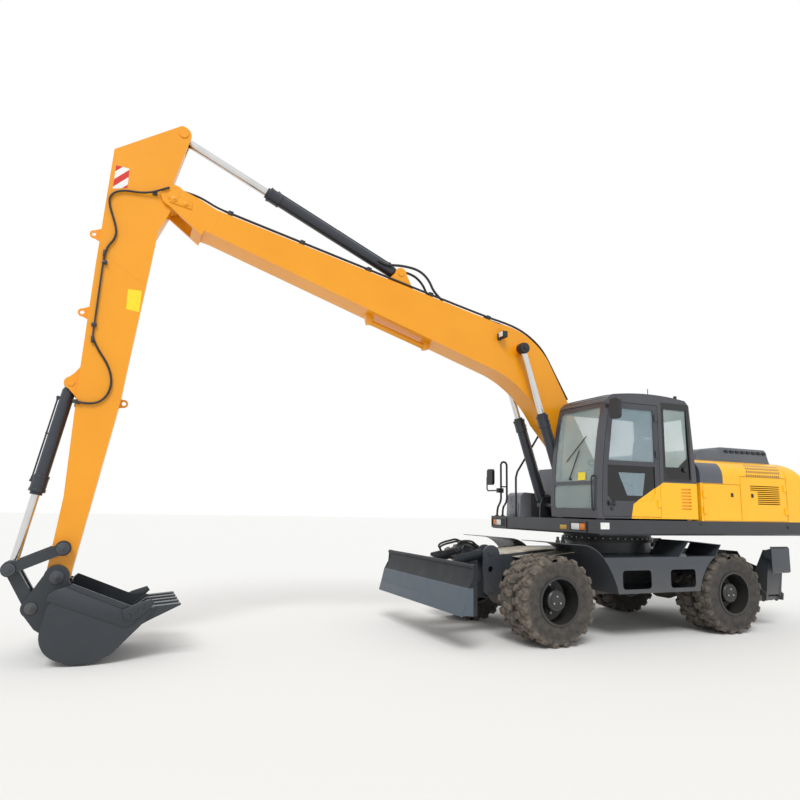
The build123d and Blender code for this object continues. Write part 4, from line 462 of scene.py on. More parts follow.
# Blade: rolled plate in dark slate enamel, hung on two cylinders in the same paint.
# Below its crease it is painted a paler blue-grey, and a cutting edge runs along its foot.
def masked(material, lines, y_from=-9.0):
    """1 where a * x + b * z < c for every line and y > y_from, in metres with x from the slewing axis."""
    tree = material.node_tree
    place = add_node(tree, "ShaderNodeTexCoord").outputs["Object"]
    parts = add_node(tree, "ShaderNodeSeparateXYZ", {"Vector": place})
    inside = add_node(tree, "ShaderNodeMath", {0: parts.outputs["Y"], 1: y_from}, operation="GREATER_THAN")
    for a, b, c in lines:
        reach = add_node(tree, "ShaderNodeVectorMath", {0: place, 1: (a, 0, b)}, operation="DOT_PRODUCT")
        below = add_node(tree, "ShaderNodeMath", {0: reach.outputs["Value"], 1: c + a * slew_x},
                         operation="LESS_THAN")
        inside = add_node(tree, "ShaderNodeMath", {0: inside.outputs[0], 1: below.outputs[0]},
                          operation="MULTIPLY")
    return inside.outputs[0]


blade_paint = painted_steel("blade_enamel", "24282D", "1F2327", roughness=0.46, dust=0.12, dust_top=0.8)
coat = blade_paint.node_tree.nodes["Principled BSDF"]
coat.inputs["Specular IOR Level"].default_value = 0.25
coat.inputs["Coat Weight"].default_value = 0.0
recolour(blade_paint, masked(blade_paint, ((0, 1, 0.70), (-1, 0, -2.90))), "566069")
dress(blade_paint, "blade", "blade_barrels")
edge_line = plate([(3031, 400), (3038, 402), (3010, 512), (3003, 510)], 1225, 2450, edge=2)
settle(edge_line, "cutting_edge", blade_paint, "blade")


# Cylinders: barrels of drawn tube in dark slate enamel, sprayed after assembly.
# The rods are hard chrome on ground steel, under a film of oil that varies along them.
cylinder_paint = painted_steel("cylinder_enamel", "2C313B", "252A33", roughness=0.34)
dress(cylinder_paint, "boom_barrels", "arm_barrel", "bucket_barrel", "stabilizer_barrel_left",
      "stabilizer_barrel_right")
chrome, tree, metal, place = new_finish("hard_chrome", {"Metallic": 1.0})
oil = add_node(tree, "ShaderNodeTexNoise", {"Vector": place, "Scale": 5.0, "Detail": 5.0})
tint = add_node(tree, "ShaderNodeValToRGB", {"Fac": oil.outputs["Fac"]})
first, last = tint.color_ramp.elements
first.color, last.color = tone("C9C9C7"), tone("E2E3E2")
tree.links.new(tint.outputs["Color"], metal.inputs["Base Color"])
film = add_node(tree, "ShaderNodeMapRange", {"Value": oil.outputs["Fac"], "To Min": 0.12, "To Max": 0.3})
tree.links.new(film.outputs["Result"], metal.inputs["Roughness"])
dress(chrome, "boom_rods", "arm_rod", "bucket_rod", "blade_rods", "stabilizer_rod_left",
      "stabilizer_rod_right", "steering_rod")


# House deck and its skirt: folded plate in dark grey enamel, welded under the cab and the body.
# Its front face carries the lamps, and its left flank has a white plate and two plugged holes.
deck_grey = painted_steel("deck_grey_enamel", "2E3136", "282A2F", roughness=0.3)
dress(deck_grey, "house_deck")


def moulded(name, colour, shade, roughness=0.5, scale=150.0, metallic=0.0):
    """Plastic, rubber, film or cloth: two tones and a fine grain, with a share of metal for a brass plate."""
    stuff, tree, skin, place = new_finish(name, {"Roughness": roughness, "Metallic": metallic})
    grain = add_node(tree, "ShaderNodeTexNoise", {"Vector": place, "Scale": scale, "Detail": 4.0})
    tint = add_node(tree, "ShaderNodeValToRGB", {"Fac": grain.outputs["Fac"]})
    first, last = tint.color_ramp.elements
    first.position, first.color = 0.3, tone(shade)
    last.position, last.color = 0.7, tone(colour)
    tree.links.new(tint.outputs["Color"], skin.inputs["Base Color"])
    bump = add_node(tree, "ShaderNodeBump", {
        "Height": grain.outputs["Fac"], "Strength": 0.2, "Distance": 0.001})
    tree.links.new(bump.outputs["Normal"], skin.inputs["Normal"])
    return stuff


black_plastic = moulded("black_moulded_plastic", "26272A", "1C1D1F")
clear_lens = moulded("clear_lamp_lens", "F4F4F0", "DADCDA", 0.12, 60.0)
amber_lens = moulded("amber_lamp_lens", "F08A22", "D96F12", 0.16, 60.0)
brass_plate = moulded("blank_brass_plate", "C9A24A", "B8913C", 0.35, 30.0, metallic=0.6)
white_plate = moulded("blank_white_plate", "EDEDEA", "DFE0DD", 0.4, 30.0)
yellow_film = moulded("blank_yellow_film", "F6E02A", "EED51E", 0.4, 30.0)


# Lamps and plates of the deck: a black plastic housing behind an amber indicator and a clear head lamp.
# The plates are blank, brass in front and white on the flank, and black plugs close two holes.
lamp_rows = (
    # name, housing Y from, to, amber lens from, to, clear lens from, to
    ("left", 683, 1022, 893, 990, 722, 880),
    ("right", -1223, -809, -1166, -1088, -1078, -962),
)
for name, start, end, amber_from, amber_to, clear_from, clear_to in lamp_rows:
    back = plate([(start + 14, 1306), (end - 14, 1418)], 1180, 9, "front", 2)
    settle(back, f"lamp_back_{name}", black_plastic, "house")
    for lens, finish, low, high in (("indicator_lens_", amber_lens, amber_from, amber_to),
                                    ("head_lamp_lens_", clear_lens, clear_from, clear_to)):
        settle(plate([(low, 1322), (high, 1402)], 1187, 8, "front"), lens + name, finish, "house")
settle(plate([(480, 1316), (618, 1374)], 1176.5, 2, "front", 0.5), "front_blank_plate", brass_plate, "house")
settle(plate([(1019, 1342), (1153, 1421)], 1246.5, 2, edge=0), "side_blank_plate", white_plate, "house")
side_plugs = [bar((-496, 1244, 1414), (-496, 1250, 1414), 12, 12, 1),
              bar((-2152, 1244, 1381), (-2152, 1252, 1381), 22, 20, 2)]
settle(join(side_plugs), "side_plugs", black_plastic, "house")


# Blade hoses: two rubber hoses to each blade cylinder, laid over the front of the frame.
# They bunch where they cross, and move with the barrels that they end on.
rubber_hose = moulded("black_hydraulic_hose", "2A2A2C", "1E1E20", 0.55, 220.0)


def tube(points, radius, y=None):
    """A smooth pipe or hose along points in millimetres; y places a route drawn in side view."""
    bpy.ops.object.select_all(action="DESELECT")
    bpy.ops.curve.primitive_nurbs_path_add()
    route = bpy.context.object
    route.data.splines.clear()
    line = route.data.splines.new("NURBS")
    line.points.add(len(points) - 1)
    for knot, point in zip(line.points, points):
        place = spot(point[0], y, point[1]) if y is not None else spot(*point)
        knot.co = (*place, 1)
    line.order_u = 3
    line.use_endpoint_u = True
    line.resolution_u = 6
    route.data.dimensions = "3D"
    route.data.bevel_depth = radius / 1000
    route.data.bevel_resolution = 3
    route.data.use_fill_caps = True
    bpy.ops.object.convert(target="MESH")
    return bpy.context.object


# Way of the inner hose of a pair on the left; it starts from a union on the frame
hose_way = ((2230, 90, 1060), (2350, 180, 1130), (2470, 80, 1118), (2540, 170, 1090), (2600, 220, 1045),
            (2560, 246, 1012))
blade_hoses = []
for hand in (1, -1):
    for side_step, lift in ((0, 0), (34, 26)):
        way = [(x, hand * (y + side_step), z + lift) for x, y, z in hose_way]
        blade_hoses.append(tube([(2120, way[0][1], 1035)] + way, 13))
settle(join(blade_hoses), "blade_hoses", rubber_hose, "blade_barrels")


# Boom and stick: welded boxes in orange-yellow enamel; bucket and its links in dark green-grey enamel.
# Four oil pipes run along the boom's top, and five pairs of bolted clamps hold them down.
boom_yellow = painted_steel("boom_yellow_enamel", "F2A112", "EC9A0B", roughness=0.3)
dress(boom_yellow, "boom", "stick", "stick_brackets")
bucket_grey = painted_steel("bucket_grey_enamel", "2B3137", "252A30", roughness=0.38)
dress(bucket_grey, "bucket", "rocker", "bucket_link")
# Middle plane of the boom, and its distance to the middle of a pair of pipes
boom_y = -75
pair_off = 98
top_rear, top_front = (1865, 4108), (5745, 4990)
boom_route = [(5650, 5010), (5420, 4957), (2100, 4201), (1739, 4144), (1498, 4079), (1278, 3962),
              (1090, 3797),
              (930, 3520), (697, 3134)]
pipes = [tube(boom_route, 15, boom_y + offset) for offset in (145, 50, -50, -145)]
rise = (top_front[1] - top_rear[1]) / (top_front[0] - top_rear[0])
for step in range(5):
    share = 0.04 + step * 0.23
    x = top_rear[0] + (top_front[0] - top_rear[0]) * share
    z = top_rear[1] + (top_front[1] - top_rear[1]) * share
    for y in (boom_y + pair_off, boom_y - pair_off):
        pipes.append(plate([(x - 30, z - 6), (x + 30, z - 6 + rise * 60), (x + 15, z + 60 + rise * 60),
                            (x - 45, z + 60)], y + 66, 132, edge=5))
        pipes.append(bar((x - 8, y, z + 54), (x - 14, y, z + 76), 9, 6, 1))
# Hoses go on from the front clamps to the pivot of the stick, and from the back over the arm cylinder's foot
for hand in (1, -1):
    bridge = [(6240, 167, 5152), (6120, 167, 5142), (5990, 167, 5124), (5880, 160, 5090), (5740, 150, 5030),
              (5640, 145, 5008)]
    pipes.append(tube([(x, boom_y + hand * reach, z) for x, reach, z in bridge], 13))
    pipes.append(tube([(3650, 4752), (3560, 4712), (3440, 4724), (3300, 4740), (3066, 4722), (2915, 4612),
                       (2830, 4430), (2700, 4342)], 17, boom_y + hand * pair_off))
boom_pipes = settle(join(pipes), "boom_pipes", black_plastic, "boom")
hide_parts("boom_lines")


# Work lamp: a black plastic housing with a clear lens, on an arm bolted to the left side of the boom.
# It lights the ground in front of the bucket.
def block(low, high, edge):
    """A rectangular piece between two corners in millimetres, edges eased."""
    bpy.ops.object.select_all(action="DESELECT")
    bpy.ops.mesh.primitive_cube_add(size=1, location=(spot(*low) + spot(*high)) / 2)
    piece = bpy.context.object
    piece.scale = [abs(h - l) / 1000 for l, h in zip(low, high)]
    bpy.ops.object.transform_apply()
    ease(edge)
    return piece


work_lamp = [block((1800, 120, 3890), (1880, 240, 3980), 10), block((1840, 103, 3870), (1890, 146, 3960), 4)]
settle(join(work_lamp), "work_lamp", black_plastic, "boom")
settle(block((1876, 130, 3900), (1889, 230, 3970), 6), "work_lamp_lens", clear_lens, "boom")


# Fittings of the boom: keeper plates over the two pins at its tip, and a strut under it between two lugs.
# All are plate and bar in the boom's paint; black caps close the pin through the cylinders' rod eyes.
boom_half = 180
tip_parts = []
for hand in (1, -1):
    face = boom_y + hand * boom_half
    tip_parts.append(plate([(6290, 5067), (6033, 5028), (6026, 4934), (6273, 4977)],
                           max(face, face + hand * 12), 12))
    for x, z, size in ((6230, 5022, 34), (6098, 4984, 26)):
        tip_parts.append(bar((x, face, z), (x, face + hand * 24, z), size, 20, 3))
        tip_parts.append(bar((x, face, z), (x, face + hand * 32, z), size * 0.5, 6, 2))
    # Weld seam across the flank
    tip_parts.append(plate([(5700, 4972), (5720, 4977), (5800, 4690), (5780, 4684)],
                           max(face, face + hand * 2), 2, edge=0))
settle(join(tip_parts), "boom_tip_keepers", boom_yellow, "boom")
strut = [bar((3715, boom_y, 3935), (2925, boom_y, 3690), 36, 28, 4),
         plate([(3790, 4050), (3680, 4014), (3685, 3905), (3755, 3895)], boom_y + 50, 100, edge=8),
         plate([(2965, 3784), (2850, 3748), (2872, 3655), (2945, 3645)], boom_y + 50, 100, edge=8)]
settle(join(strut), "boom_strut", boom_yellow, "boom")
# Distance of the two boom cylinders from the middle plane, and the pin through their rod eyes
cylinder_off = 285
rod_pin = (1545, 3765)
cap_rows = (
    # start and end from the eye's outer face, radius, sides, edge, wall
    (-2, 26, 74, 28, 6, 0), (0, 40, 26, 6, 2, 0), (-84, 2, 79, 32, 2, 6),
)
pin_x, pin_z = rod_pin
caps = []
for hand in (1, -1):
    outer = boom_y + hand * (cylinder_off + 44)
    for start, end, radius, sides, edge, wall in cap_rows:
        caps.append(bar((pin_x, outer + hand * start, pin_z), (pin_x, outer + hand * end, pin_z),
                        radius, sides, edge, wall))
settle(join(caps), "boom_rod_pin_caps", black_plastic, "boom_rods")


# Two posts with hose unions: turned steel in the rough dark paint of the axles.
# They are screwed to the frame at the rear end of the left tread plate.
posts = []
for x in (1185, 1105):
    posts += [bar((x, 440, 1040), (x, 440, 1170), 30, 20, 3), bar((x, 440, 1168), (x, 440, 1215), 20, 6, 3)]
settle(join(posts), "deck_posts", cast_steel, "chassis")


# Lines of the stick, left and right: rubber hose, steel pipe between two fittings, and hose again.
# The pipes lie on the flanks of the stick, and four clamps bolted to it hold each line.
line_pieces, pipe_pieces = [], []
for hand in (1, -1):
    y = boom_y + hand * 164
    upper = [(6290, 38, 5146), (6380, 32, 5100), (6470, 14, 5058), (6594, 0, 5030), (6770, 0, 5025),
             (6880, 0, 4970), (6918, 0, 4860), (6800, 0, 4560), (6812, 0, 4430), (6890, 0, 4320),
             (6903, 0, 4180)]
    line_pieces.append(tube([(x, y + hand * out, z) for x, out, z in upper], 12))
    line_pieces.append(tube([(6938, 3300), (6890, 3190), (6750, 3000), (6700, 2800), (6760, 2630),
                             (6900, 2562), (7050, 2590)], 12, y))
    pipe_pieces.append(bar((6903, y, 4230), (6938, y, 3270), 10, 16, 0))
    for start, end in (((6900, 4290), (6903, 4215)), ((6938, 3310), (6934, 3236)),
                       ((6994, 2572), (7062, 2594))):
        pipe_pieces.append(bar((start[0], y, start[1]), (end[0], y, end[1]), 16, 6, 2))
    near = y + 16 if hand > 0 else y + 24
    for x, z in ((6440, 5060), (6890, 4149), (6935, 3437), (7040, 2590)):
        pipe_pieces.append(block((x - 26, near - 40, z - 20), (x + 26, near, z + 20), 5))
        pipe_pieces.append(bar((x - 16, near - 20 - hand * 16, z), (x - 16, near - 20 + hand * 26, z),
                               7, 6, 1))
hoses = settle(join(line_pieces), "stick_hoses", rubber_hose, "stick")
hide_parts("stick_lines")
settle(join(pipe_pieces), "stick_pipes", cylinder_paint, "stick")


# Films and seams of the stick: red and white hazard stripes near its top on both sides, bonded on.
# Lower down are a yellow film with nothing on it, and a weld seam across each flank.
stick_left, stick_right = 66, -214
stripes, tree, film, place = new_finish("red_white_stripe_film", {"Roughness": 0.35})
parts = add_node(tree, "ShaderNodeSeparateXYZ", {"Vector": place})
slant = add_node(tree, "ShaderNodeMath", {0: parts.outputs["X"], 1: parts.outputs["Z"]}, operation="ADD")
turns = add_node(tree, "ShaderNodeMath", {0: slant.outputs[0], 1: 5.6}, operation="MULTIPLY")
turns = add_node(tree, "ShaderNodeMath", {0: turns.outputs[0]}, operation="FRACT")
red = add_node(tree, "ShaderNodeMath", {0: turns.outputs[0], 1: 0.5}, operation="GREATER_THAN")
fade = add_node(tree, "ShaderNodeTexNoise", {"Vector": place, "Scale": 20.0, "Detail": 3.0})
white = add_node(tree, "ShaderNodeMix", {0: fade.outputs["Fac"], 6: tone("E9E9E6"), 7: tone("F4F3F0")},
                 data_type="RGBA")
tree.links.new(white.outputs[2], film.inputs["Base Color"])
recolour(stripes, red.outputs[0], "D2322A")
stripe_corners = [(6871, 5315), (6731, 5304), (6734, 5068), (6883, 5028)]
settle(join([plate(stripe_corners, near, 2, edge=0) for near in (stick_left, stick_right)]), "hazard_stripes",
       stripes, "stick")
film_corners = [(6632, 3889), (6487, 3889), (6498, 3643), (6633, 3659)]
settle(plate(film_corners, stick_left, 2, edge=0), "stick_blank_plate", yellow_film, "stick")
seam = [(6870, 4238), (6871, 4230), (6472, 3964), (6471, 3972)]
settle(join([plate(seam, near, 2, edge=0) for near in (stick_left + 0.5, stick_right - 0.5)]),
       "stick_weld_seams", boom_yellow, "stick")


# Counterweight and service doors: cast and pressed steel in house yellow enamel, lighter than the boom.
# Each left door has a recessed latch: a square cup with a black handle.
yellow, yellow_shade = "FFBE18", "FCB812"
house_yellow = painted_steel("house_yellow_enamel", yellow, yellow_shade, roughness=0.28)
dress(house_yellow, "counterweight", "service_door_left_front", "service_door_left_rear",
      "service_door_right")
for x, door in ((-1091, "service_door_left_front"), (-1478, "service_door_left_rear")):
    settle(plate([(x - 42, 1766), (x + 42, 1850)], 1248, 4, edge=1.5), "cup_of_" + door, house_yellow, door)
    settle(plate([(x - 25, 1781), (x + 25, 1835)], 1250, 4, edge=1.5), "latch_of_" + door, black_plastic,
           door)


# Tanks on the right and tool box in front of them: folded plate in grey enamel, painted paler on the box as
# painted light where light falls on it.
# The box has a lid in its front face, with a round lock.
tank_grey = painted_steel("tank_grey_enamel", "666A72", "5C6068", roughness=0.34)
dress(tank_grey, "right_tanks")
# The box is painted a paler grey than the tanks: painted light on its lit front and top.
recolour(tank_grey, masked(tank_grey, ((-1, 0, -0.70), (0, 1, 1.83))), "858991")
tool_lid = [plate([(-1190, 1470), (-906, 1650)], 909, 5, "front", 2),
            bar((907, -1048, 1610), (919, -1048, 1610), 17, 16, 2)]
settle(join(tool_lid), "tool_box_lid", tank_grey, "house")


# Engine hood: one pressed steel cover over the width of the shoulders, hinged in front, in grey enamel.
# It stands for the plainer solid below it, and black fins cover the air gaps along its raised rear part.
hood_grey = painted_steel("hood_grey_enamel", "565A61", "4D5157", roughness=0.36)
hood_middle_x, hood_reach, hood_half = -1430, 725, 1035
# Height of the body's shoulder and of the cover's front part, and how much higher the rear part stands
shoulder_z, crown_z, rear_lift = 2299, 2440, 45
# Lengths over which the cover rises from its edges
front_run, rear_run, flank_run = 190, 25, 28
bpy.ops.object.select_all(action="DESELECT")
bpy.ops.mesh.primitive_grid_add(x_subdivisions=58, y_subdivisions=60, size=2)
hood = bpy.context.object
for corner in hood.data.vertices:
    u, v = corner.co.x, corner.co.y
    x = hood_middle_x + u * hood_reach
    y = v * hood_half
    # The shoulder falls away past 820 mm from the middle
    under = shoulder_z - max(0.0, abs(y) - 820) ** 2 * 0.00052
    front = min(1.0, (1 - u) * hood_reach / front_run)
    rear = min(1.0, (1 + u) * hood_reach / rear_run)
    flank = min(1.0, (hood_half - abs(y)) / flank_run)
    rise = (front * (2 - front)) * (rear * (2 - rear)) ** 0.5 * (flank * (2 - flank)) ** 0.5
    crown = crown_z + rear_lift * min(1.0, max(0.0, (-1180 - x) / 40))
    corner.co = spot(x, y, under + 2 + (crown - under) * rise)
shape_by("SUBSURF", levels=1, render_levels=1)
shape_by("SOLIDIFY", thickness=0.003, offset=-1)
hood_cover = settle(hood, "hood_cover", hood_grey, "engine_hood", 40)
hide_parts("engine_hood")
fins = []
for number in range(8):
    x = -1310 - number * 108
    for near in (hood_half - 9, 18 - hood_half):
        fins.append(plate([(x - 34, 2412), (x + 34, 2412), (x + 38, 2446), (x - 30, 2446)], near, 20, edge=2))
settle(join(fins), "hood_fins", black_plastic, "engine_hood")


# Engine: a cast block and its parts under the hood, in the rough dark paint of the axles.
# It is seen when the hood stands open.
dress(cast_steel, "engine")


# Body shell: pressed steel in house yellow enamel, with a dark panel folded over the left shoulder in front.
# Behind it four rows of slits, pressed into the curve of the shoulder, let in air; they are painted on as
# near-black stripes, painted shade of their openings.
shell_yellow = painted_steel("body_shell_enamel", yellow, yellow_shade, roughness=0.28)
dress(shell_yellow, "body_shell")
left_shoulder = 0.9
dark_panel = ((1, 0, -0.470), (-1, 0, 0.935), (0, 1, 2.232), (0, -1, -1.955))
recolour(shell_yellow, masked(shell_yellow, dark_panel, left_shoulder), "4E535B")
slit_step = 0.042
slit_rows = ((2.066, 2.100), (2.118, 2.152), (2.168, 2.198), (2.213, 2.233))
tree = shell_yellow.node_tree
place = add_node(tree, "ShaderNodeTexCoord").outputs["Object"]
parts = add_node(tree, "ShaderNodeSeparateXYZ", {"Vector": place})
lean = add_node(tree, "ShaderNodeMath", {0: parts.outputs["Z"], 1: 0.4, 2: parts.outputs["X"]},
                operation="MULTIPLY_ADD")
turns = add_node(tree, "ShaderNodeMath", {0: lean.outputs[0], 1: 1 / slit_step}, operation="MULTIPLY")
turns = add_node(tree, "ShaderNodeMath", {0: turns.outputs[0]}, operation="FRACT")
painted_slit_shade = add_node(tree, "ShaderNodeMath", {0: turns.outputs[0], 1: 0.5}, operation="GREATER_THAN")
# Each row gets near-black stripes: painted shade where the slits open into the body.
for low_z, high_z in slit_rows:
    row = masked(shell_yellow, ((1, 0.45, -0.43), (-1, -0.45, 1.13), (0, 1, high_z), (0, -1, -low_z)),
                 left_shoulder)
    slit = add_node(tree, "ShaderNodeMath", {0: painted_slit_shade.outputs[0], 1: row}, operation="MULTIPLY")
    recolour(shell_yellow, slit.outputs[0], "1F2023")


# Cab: pressed and welded steel in dark grey enamel; the door is a frame of its own on three barrels.
# A yellow corner runs over both below a slanting band, and a black field lies round the rear side pane.
cab_grey = painted_steel("cab_grey_enamel", "46474D", "3E3F45", roughness=0.32)
dress(cab_grey, "cab_shell")
door_grey = painted_steel("door_grey_enamel", "3F4047", "37383E", roughness=0.3)
dress(door_grey, "cab_door")
below_band = (0.561, 1, 1.998)
for paint in (cab_grey, door_grey):
    recolour(paint, masked(paint, (below_band, (0.222, 0.0492, 0.2177), (0, 1, 1.936)), 1.17), yellow)
black_field = ((1, 0, 0.10), (-1, 0, 0.385), (0, -1, -1.955), (0, 1, 2.985))
recolour(cab_grey, masked(cab_grey, black_field, 1.1), "141518")


# Panes: tinted safety glass, bonded in, with a black border printed round the rear side pane.
# The door's lower pane is painted black, painted shade of the dark cab behind it, but for a window in its
# middle, and yellow in the corner below the band.
def safety_glass(name, colour, shade, veil):
    """Tinted glass; the veil is the share of light that its film and the sky on it hold back."""
    glass, tree, pane, place = new_finish(name, {"Roughness": 0.04, "Alpha": veil})
    haze = add_node(tree, "ShaderNodeTexNoise", {"Vector": place, "Scale": 2.2, "Detail": 4.0})
    tint = add_node(tree, "ShaderNodeValToRGB", {"Fac": haze.outputs["Fac"]})
    first, last = tint.color_ramp.elements
    first.position, first.color = 0.35, tone(shade)
    last.position, last.color = 0.65, tone(colour)
    tree.links.new(tint.outputs["Color"], pane.inputs["Base Color"])
    return glass


def print_and_shade_border(glass, pane, clear, veil):
    """Black border round the clear part of a pane, which holds back all light: print on the cab's rear side
    pane, painted shade on the door's lower pane.
    """
    tree = glass.node_tree
    border = add_node(tree, "ShaderNodeMath", {0: pane, 1: clear}, operation="SUBTRACT")
    border.use_clamp = True
    recolour(glass, border.outputs[0], "0E0F11")
    depth = add_node(tree, "ShaderNodeMapRange", {"Value": border.outputs[0], "To Min": veil, "To Max": 1.0})
    tree.links.new(depth.outputs["Result"], tree.nodes["Principled BSDF"].inputs["Alpha"])


cab_veil, door_veil = 0.3, 0.34
cab_panes = safety_glass("tinted_safety_glass", "D3E4E0", "B9D0D0", cab_veil)
side_window = ((1, 0, 0.045), (-1, 0, 0.33), (0, 1, 2.90), (0, -1, -2.14), (-0.133, -0.16, -0.3196))
print_and_shade_border(cab_panes, masked(cab_panes, ((1, 0, 0.20), (-1, 0, 0.50)), 1.1),
               masked(cab_panes, side_window, 1.1), cab_veil)
dress(cab_panes, "cab_glass")
door_panes = safety_glass("door_safety_glass", "B4CAD2", "A9C1CB", door_veil)
door_window = ((1, -0.456, -0.102), (-1, -0.196, -0.795), (0, 1, 2.043), (0, -1, -1.758))
# Below the band line the door pane is painted black but for its window: painted shade of the dark cab behind
# it.
print_and_shade_border(door_panes, masked(door_panes, ((0, 1, 2.165),)), masked(door_panes, door_window), door_veil)
recolour(door_panes, masked(door_panes, (below_band,)), yellow)
dress(door_panes, "door_glass")


# Rails, mirrors and controls: tube coated black and black plastic mouldings.
# The rails are screwed to the body and the deck, the mirrors to the cab, and the controls to its floor.
dress(black_plastic, "rails_mirrors", "cab_controls")


# Roof: a visor of three ribs in front and four ribs pressed along the top, all in the cab's paint.
# A rod aerial and the empty foot of a beacon, in black plastic, are screwed on over its left edge.
roof_parts = []
for x, z in ((1006, 2922), (952, 2986), (898, 3020)):
    rib = [(318, z - 6), (345, z + 4), (765, z + 4), (1184, z + 4), (1211, z - 6)]
    roof_parts.append(tube([(x, y, height) for y, height in rib], 9))
for y in (420, 600, 930, 1110):
    roof_parts.append(tube([(-330, 3028), (-200, 3050), (200, 3074), (600, 3060), (820, 3034)], 9, y))
settle(join(roof_parts), "roof_ribs", cab_grey, "house")
mast_y = 1100
aerial = [bar((180, mast_y, 3068), (180, mast_y, 3092), 20, 16, 3),
          bar((180, mast_y, 3088), (178, mast_y, 3176), 5, 8, 0),
          bar((-299, mast_y, 3030), (-299, mast_y, 3072), 16, 16, 3),
          bar((-299, mast_y, 3070), (-299, mast_y, 3118), 22, 16, 6)]
settle(join(aerial), "aerial_and_beacon_foot", black_plastic, "house")


# Front of the cab: a wiper with its spindle below the upper pane, an arm and a blade, in black.
# A blank yellow tag sticks low on the glass, and a grab rail is bolted to the left pillar.
wiper = [bar((1150, 700, 1962), (1178, 700, 1962), 17, 16, 3),
         bar((1176, 700, 1962), (1126, 850, 2330), 7, 8, 0),
         bar((1142, 600, 2190), (1100, 960, 2500), 6, 8, 0)]
settle(join(wiper), "wiper", black_plastic, "house")
tag = plate([(1167, 1942), (1158, 2040), (1161, 2040), (1170, 1942)], 1000, 140, edge=0)
settle(tag, "windscreen_blank_tag", yellow_film, "house")
rail = [(1160, 1992), (1196, 1985), (1202, 1960), (1202, 1600), (1196, 1575), (1164, 1566)]
settle(tube(rail, 11, 1160), "pillar_rail", black_plastic, "house")


# Door furniture: a black plastic pull handle with its lock, screwed to the door.
# The round latch behind it, on the cab, holds the door when it stands open.
door_parts = [block((915, 1232, 1640), (1020, 1262, 1672), 8), block((915, 1231, 1628), (935, 1250, 1690), 5),
              block((1000, 1231, 1628), (1020, 1250, 1690), 5),
              bar((960, 1230, 1590), (960, 1242, 1590), 20, 20, 3)]
settle(join(door_parts), "door_handle", black_plastic, "cab_door")
settle(bar((-275, 1222, 2114), (-275, 1244, 2114), 34, 24, 5), "door_stay", black_plastic, "house")


# Seat: a sprung base in black plastic on the cab floor, with a cushion, a back and a headrest.
# The pads are mid grey woven cloth, sewn in channels over foam; the headrest stands on two stems.
seat_cloth = moulded("grey_seat_cloth", "62656B", "54575D", 0.85, 380.0)
seat_y = 764.5


def cushion(low, high, crown, lean):
    """Padding between two corners in millimetres: crowned faces, drawn-in sides and two sewn channels."""
    bpy.ops.object.select_all(action="DESELECT")
    middle = (spot(*low) + spot(*high)) / 2
    bpy.ops.mesh.primitive_cube_add(size=2)
    pad = bpy.context.object
    open_mesh()
    bpy.ops.mesh.subdivide(number_cuts=11)
    bpy.ops.object.mode_set(mode="OBJECT")
    half = [abs(h - l) / 2000 for l, h in zip(low, high)]
    thin = half.index(min(half))
    wide = [axis for axis in range(3) if axis != thin]
    for corner in pad.data.vertices:
        u, v, w = corner.co[wide[0]], corner.co[wide[1]], corner.co[thin]
        swell = (1 - u ** 4) * (1 - v ** 4)
        seam = 0.16 * max(0.0, 1 - abs(abs(v) - 0.5) * 10) if abs(w) > 0.99 else 0
        corner.co[thin] = w * half[thin] * (0.62 + crown * swell - seam * swell)
        corner.co[wide[0]] = u * half[wide[0]] * (1 - 0.05 * w * w - 0.04 * v ** 4)
        corner.co[wide[1]] = v * half[wide[1]] * (1 - 0.05 * w * w - 0.04 * u ** 4)
    shape_by("SUBSURF", levels=1, render_levels=1)
    pad.location = middle
    pad.rotation_euler = (0, math.radians(lean), 0)
    return pad


seat_pads = (
    # name, lowest corner, highest corner, lean
    ("seat_cushion", (-60, seat_y - 238, 1890), (418, seat_y + 238, 2005), 0),
    ("seat_back", (-95, seat_y - 226, 1990), (5, seat_y + 226, 2555), -9),
    ("head_rest", (-118, seat_y - 128, 2560), (-42, seat_y + 128, 2752), -9),
)
for name, low_corner, high_corner, lean in seat_pads:
    pad = settle(cushion(low_corner, high_corner, crown=0.38, lean=lean), name, seat_cloth, "house", 60)
seat_base = join([block((-150, seat_y - 170, 1518), (370, seat_y + 170, 1780), 12),
                  block((-118, seat_y - 225, 1776), (400, seat_y + 225, 1888), 18),
                  bar((-88, seat_y - 60, 2530), (-84, seat_y - 60, 2600), 7, 12, 0),
                  bar((-88, seat_y + 60, 2530), (-84, seat_y + 60, 2600), 7, 12, 0)])
settle(seat_base, "seat_base", black_plastic, "house")
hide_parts("seat")


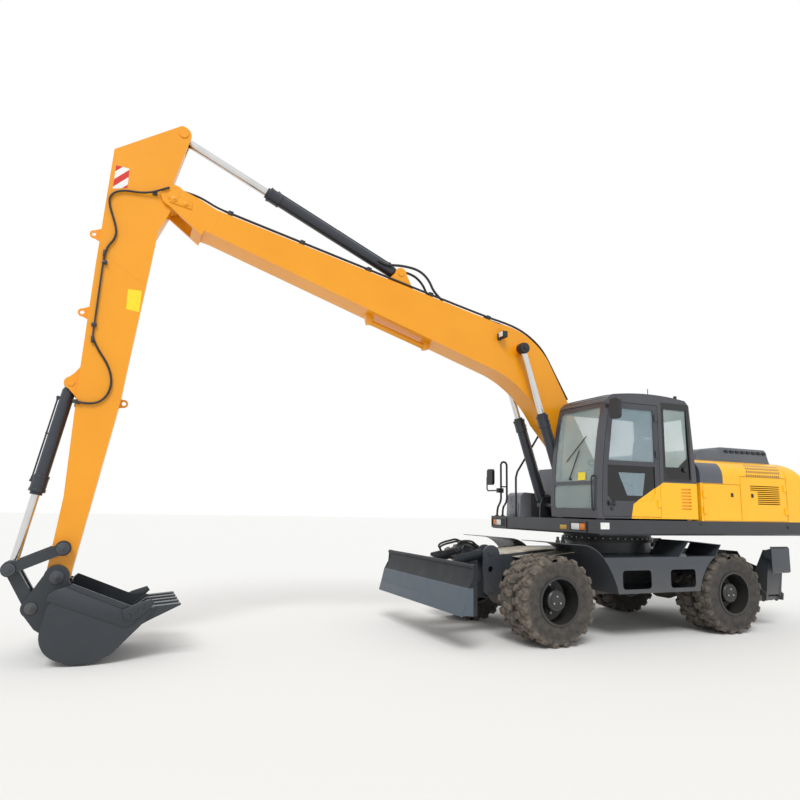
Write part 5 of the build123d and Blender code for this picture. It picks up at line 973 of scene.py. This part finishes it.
# Fittings of the long cylinders: a steel pipe along each barrel, a union at both ends and a clip between.
# Two collars and the gland nut sit round the barrel's end, all in the barrel's paint.
def barrel_fittings(name, foot, eye, y, length, radius, rod_radius, body):
    """Pipe, unions and gland nut of one barrel that points from its foot to the rod's eye."""
    run = Vector((eye[0] - foot[0], eye[1] - foot[1])).normalized()
    rise = Vector((-run.y, run.x))
    if rise.y < 0:
        rise = -rise

    def at(along, out):
        return (foot[0] + run.x * along + rise.x * out, y, foot[1] + run.y * along + rise.y * out)

    lift = radius + 16
    pieces = [bar(at(190, lift), at(length - 130, lift), 9, 12, 0),
              bar(at(170, radius - 6), at(170, lift + 16), 15, 6, 2),
              bar(at(length - 100, radius), at(length - 100, lift + 16), 15, 6, 2),
              bar(at(170, lift), at(200, lift), 13, 6, 1),
              bar(at(length - 145, lift), at(length - 98, lift), 13, 6, 1),
              bar(at(length * 0.5 - 18, radius - 4), at(length * 0.5 - 18, lift + 12), 8, 6, 1)]
    for start, end, outside, wall in (
            (length - 2, length + 34, radius * 0.92, radius * 0.92 - rod_radius - 1.5),
            (length - 168, length - 140, radius + 15, 14), (length - 30, length + 4, radius + 17, 8)):
        pieces.append(bar(at(start, 0), at(end, 0), outside, 32, 2, wall))
    settle(join(pieces), name + "_fittings", cylinder_paint, body)


for hand, side_name in hands:
    barrel_fittings(f"boom_cylinder_{side_name}", (840, 1620), rod_pin, boom_y + hand * cylinder_off, 1290,
                    68, 44, "boom_barrels")
barrel_fittings("arm_cylinder", (3330, 4625), (6180, 5885), boom_y, 1950, 76, 50, "arm_barrel")
barrel_fittings("bucket_cylinder", (7105, 2795), (7465, 885), boom_y, 1170, 66, 42, "bucket_barrel")


# Bucket: wear strips of hard plate along its mouth and a bolted cutter on each side, in the bucket's paint.
# Dark caps bolted over the pins keep the linkage together.
bucket_parts = []
for hand in (1, -1):
    face = boom_y + hand * 530
    near = max(face, face + hand * 14)
    bucket_parts.append(plate([(6935, 738), (6390, 503), (6290, 452), (6300, 372), (6378, 338), (7082, 616),
                               (7075, 672), (7010, 716)], near, 14, edge=4))
    near = max(face + hand * 14, face + hand * 34)
    bucket_parts.append(plate([(6420, 510), (6300, 560), (6150, 606), (6118, 560), (6205, 470), (6300, 405),
                               (6385, 412)], near, 20, edge=6))
    for x, z in ((6350, 450), (6290, 500), (6225, 540)):
        bucket_parts.append(bar((x, face + hand * 30, z), (x, face + hand * 48, z), 19, 6, 3))
settle(join(bucket_parts), "bucket_wear_parts", bucket_grey, "bucket")
pin_caps = (
    # body, X, Z, distance of the face from the middle, cap radius
    ("stick", 7010, 1083, 244, 60), ("rocker", 7465, 885, 244, 60), ("bucket", 7245, 505, 192, 58),
    ("bucket", 7045, 800, 192, 66),
)
for number, (body, x, z, reach, radius) in enumerate(pin_caps):
    discs = []
    for hand in (1, -1):
        face = boom_y + hand * (reach + 1)
        discs += [bar((x, face, z), (x, face + hand * 16, z), radius, 28, 4),
                  bar((x, face, z), (x, face + hand * 24, z), radius * 0.6, 24, 4),
                  bar((x, face, z), (x, face + hand * 36, z), 15, 6, 2)]
    settle(join(discs), f"pin_caps_{number}", slate, body)


low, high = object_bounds()
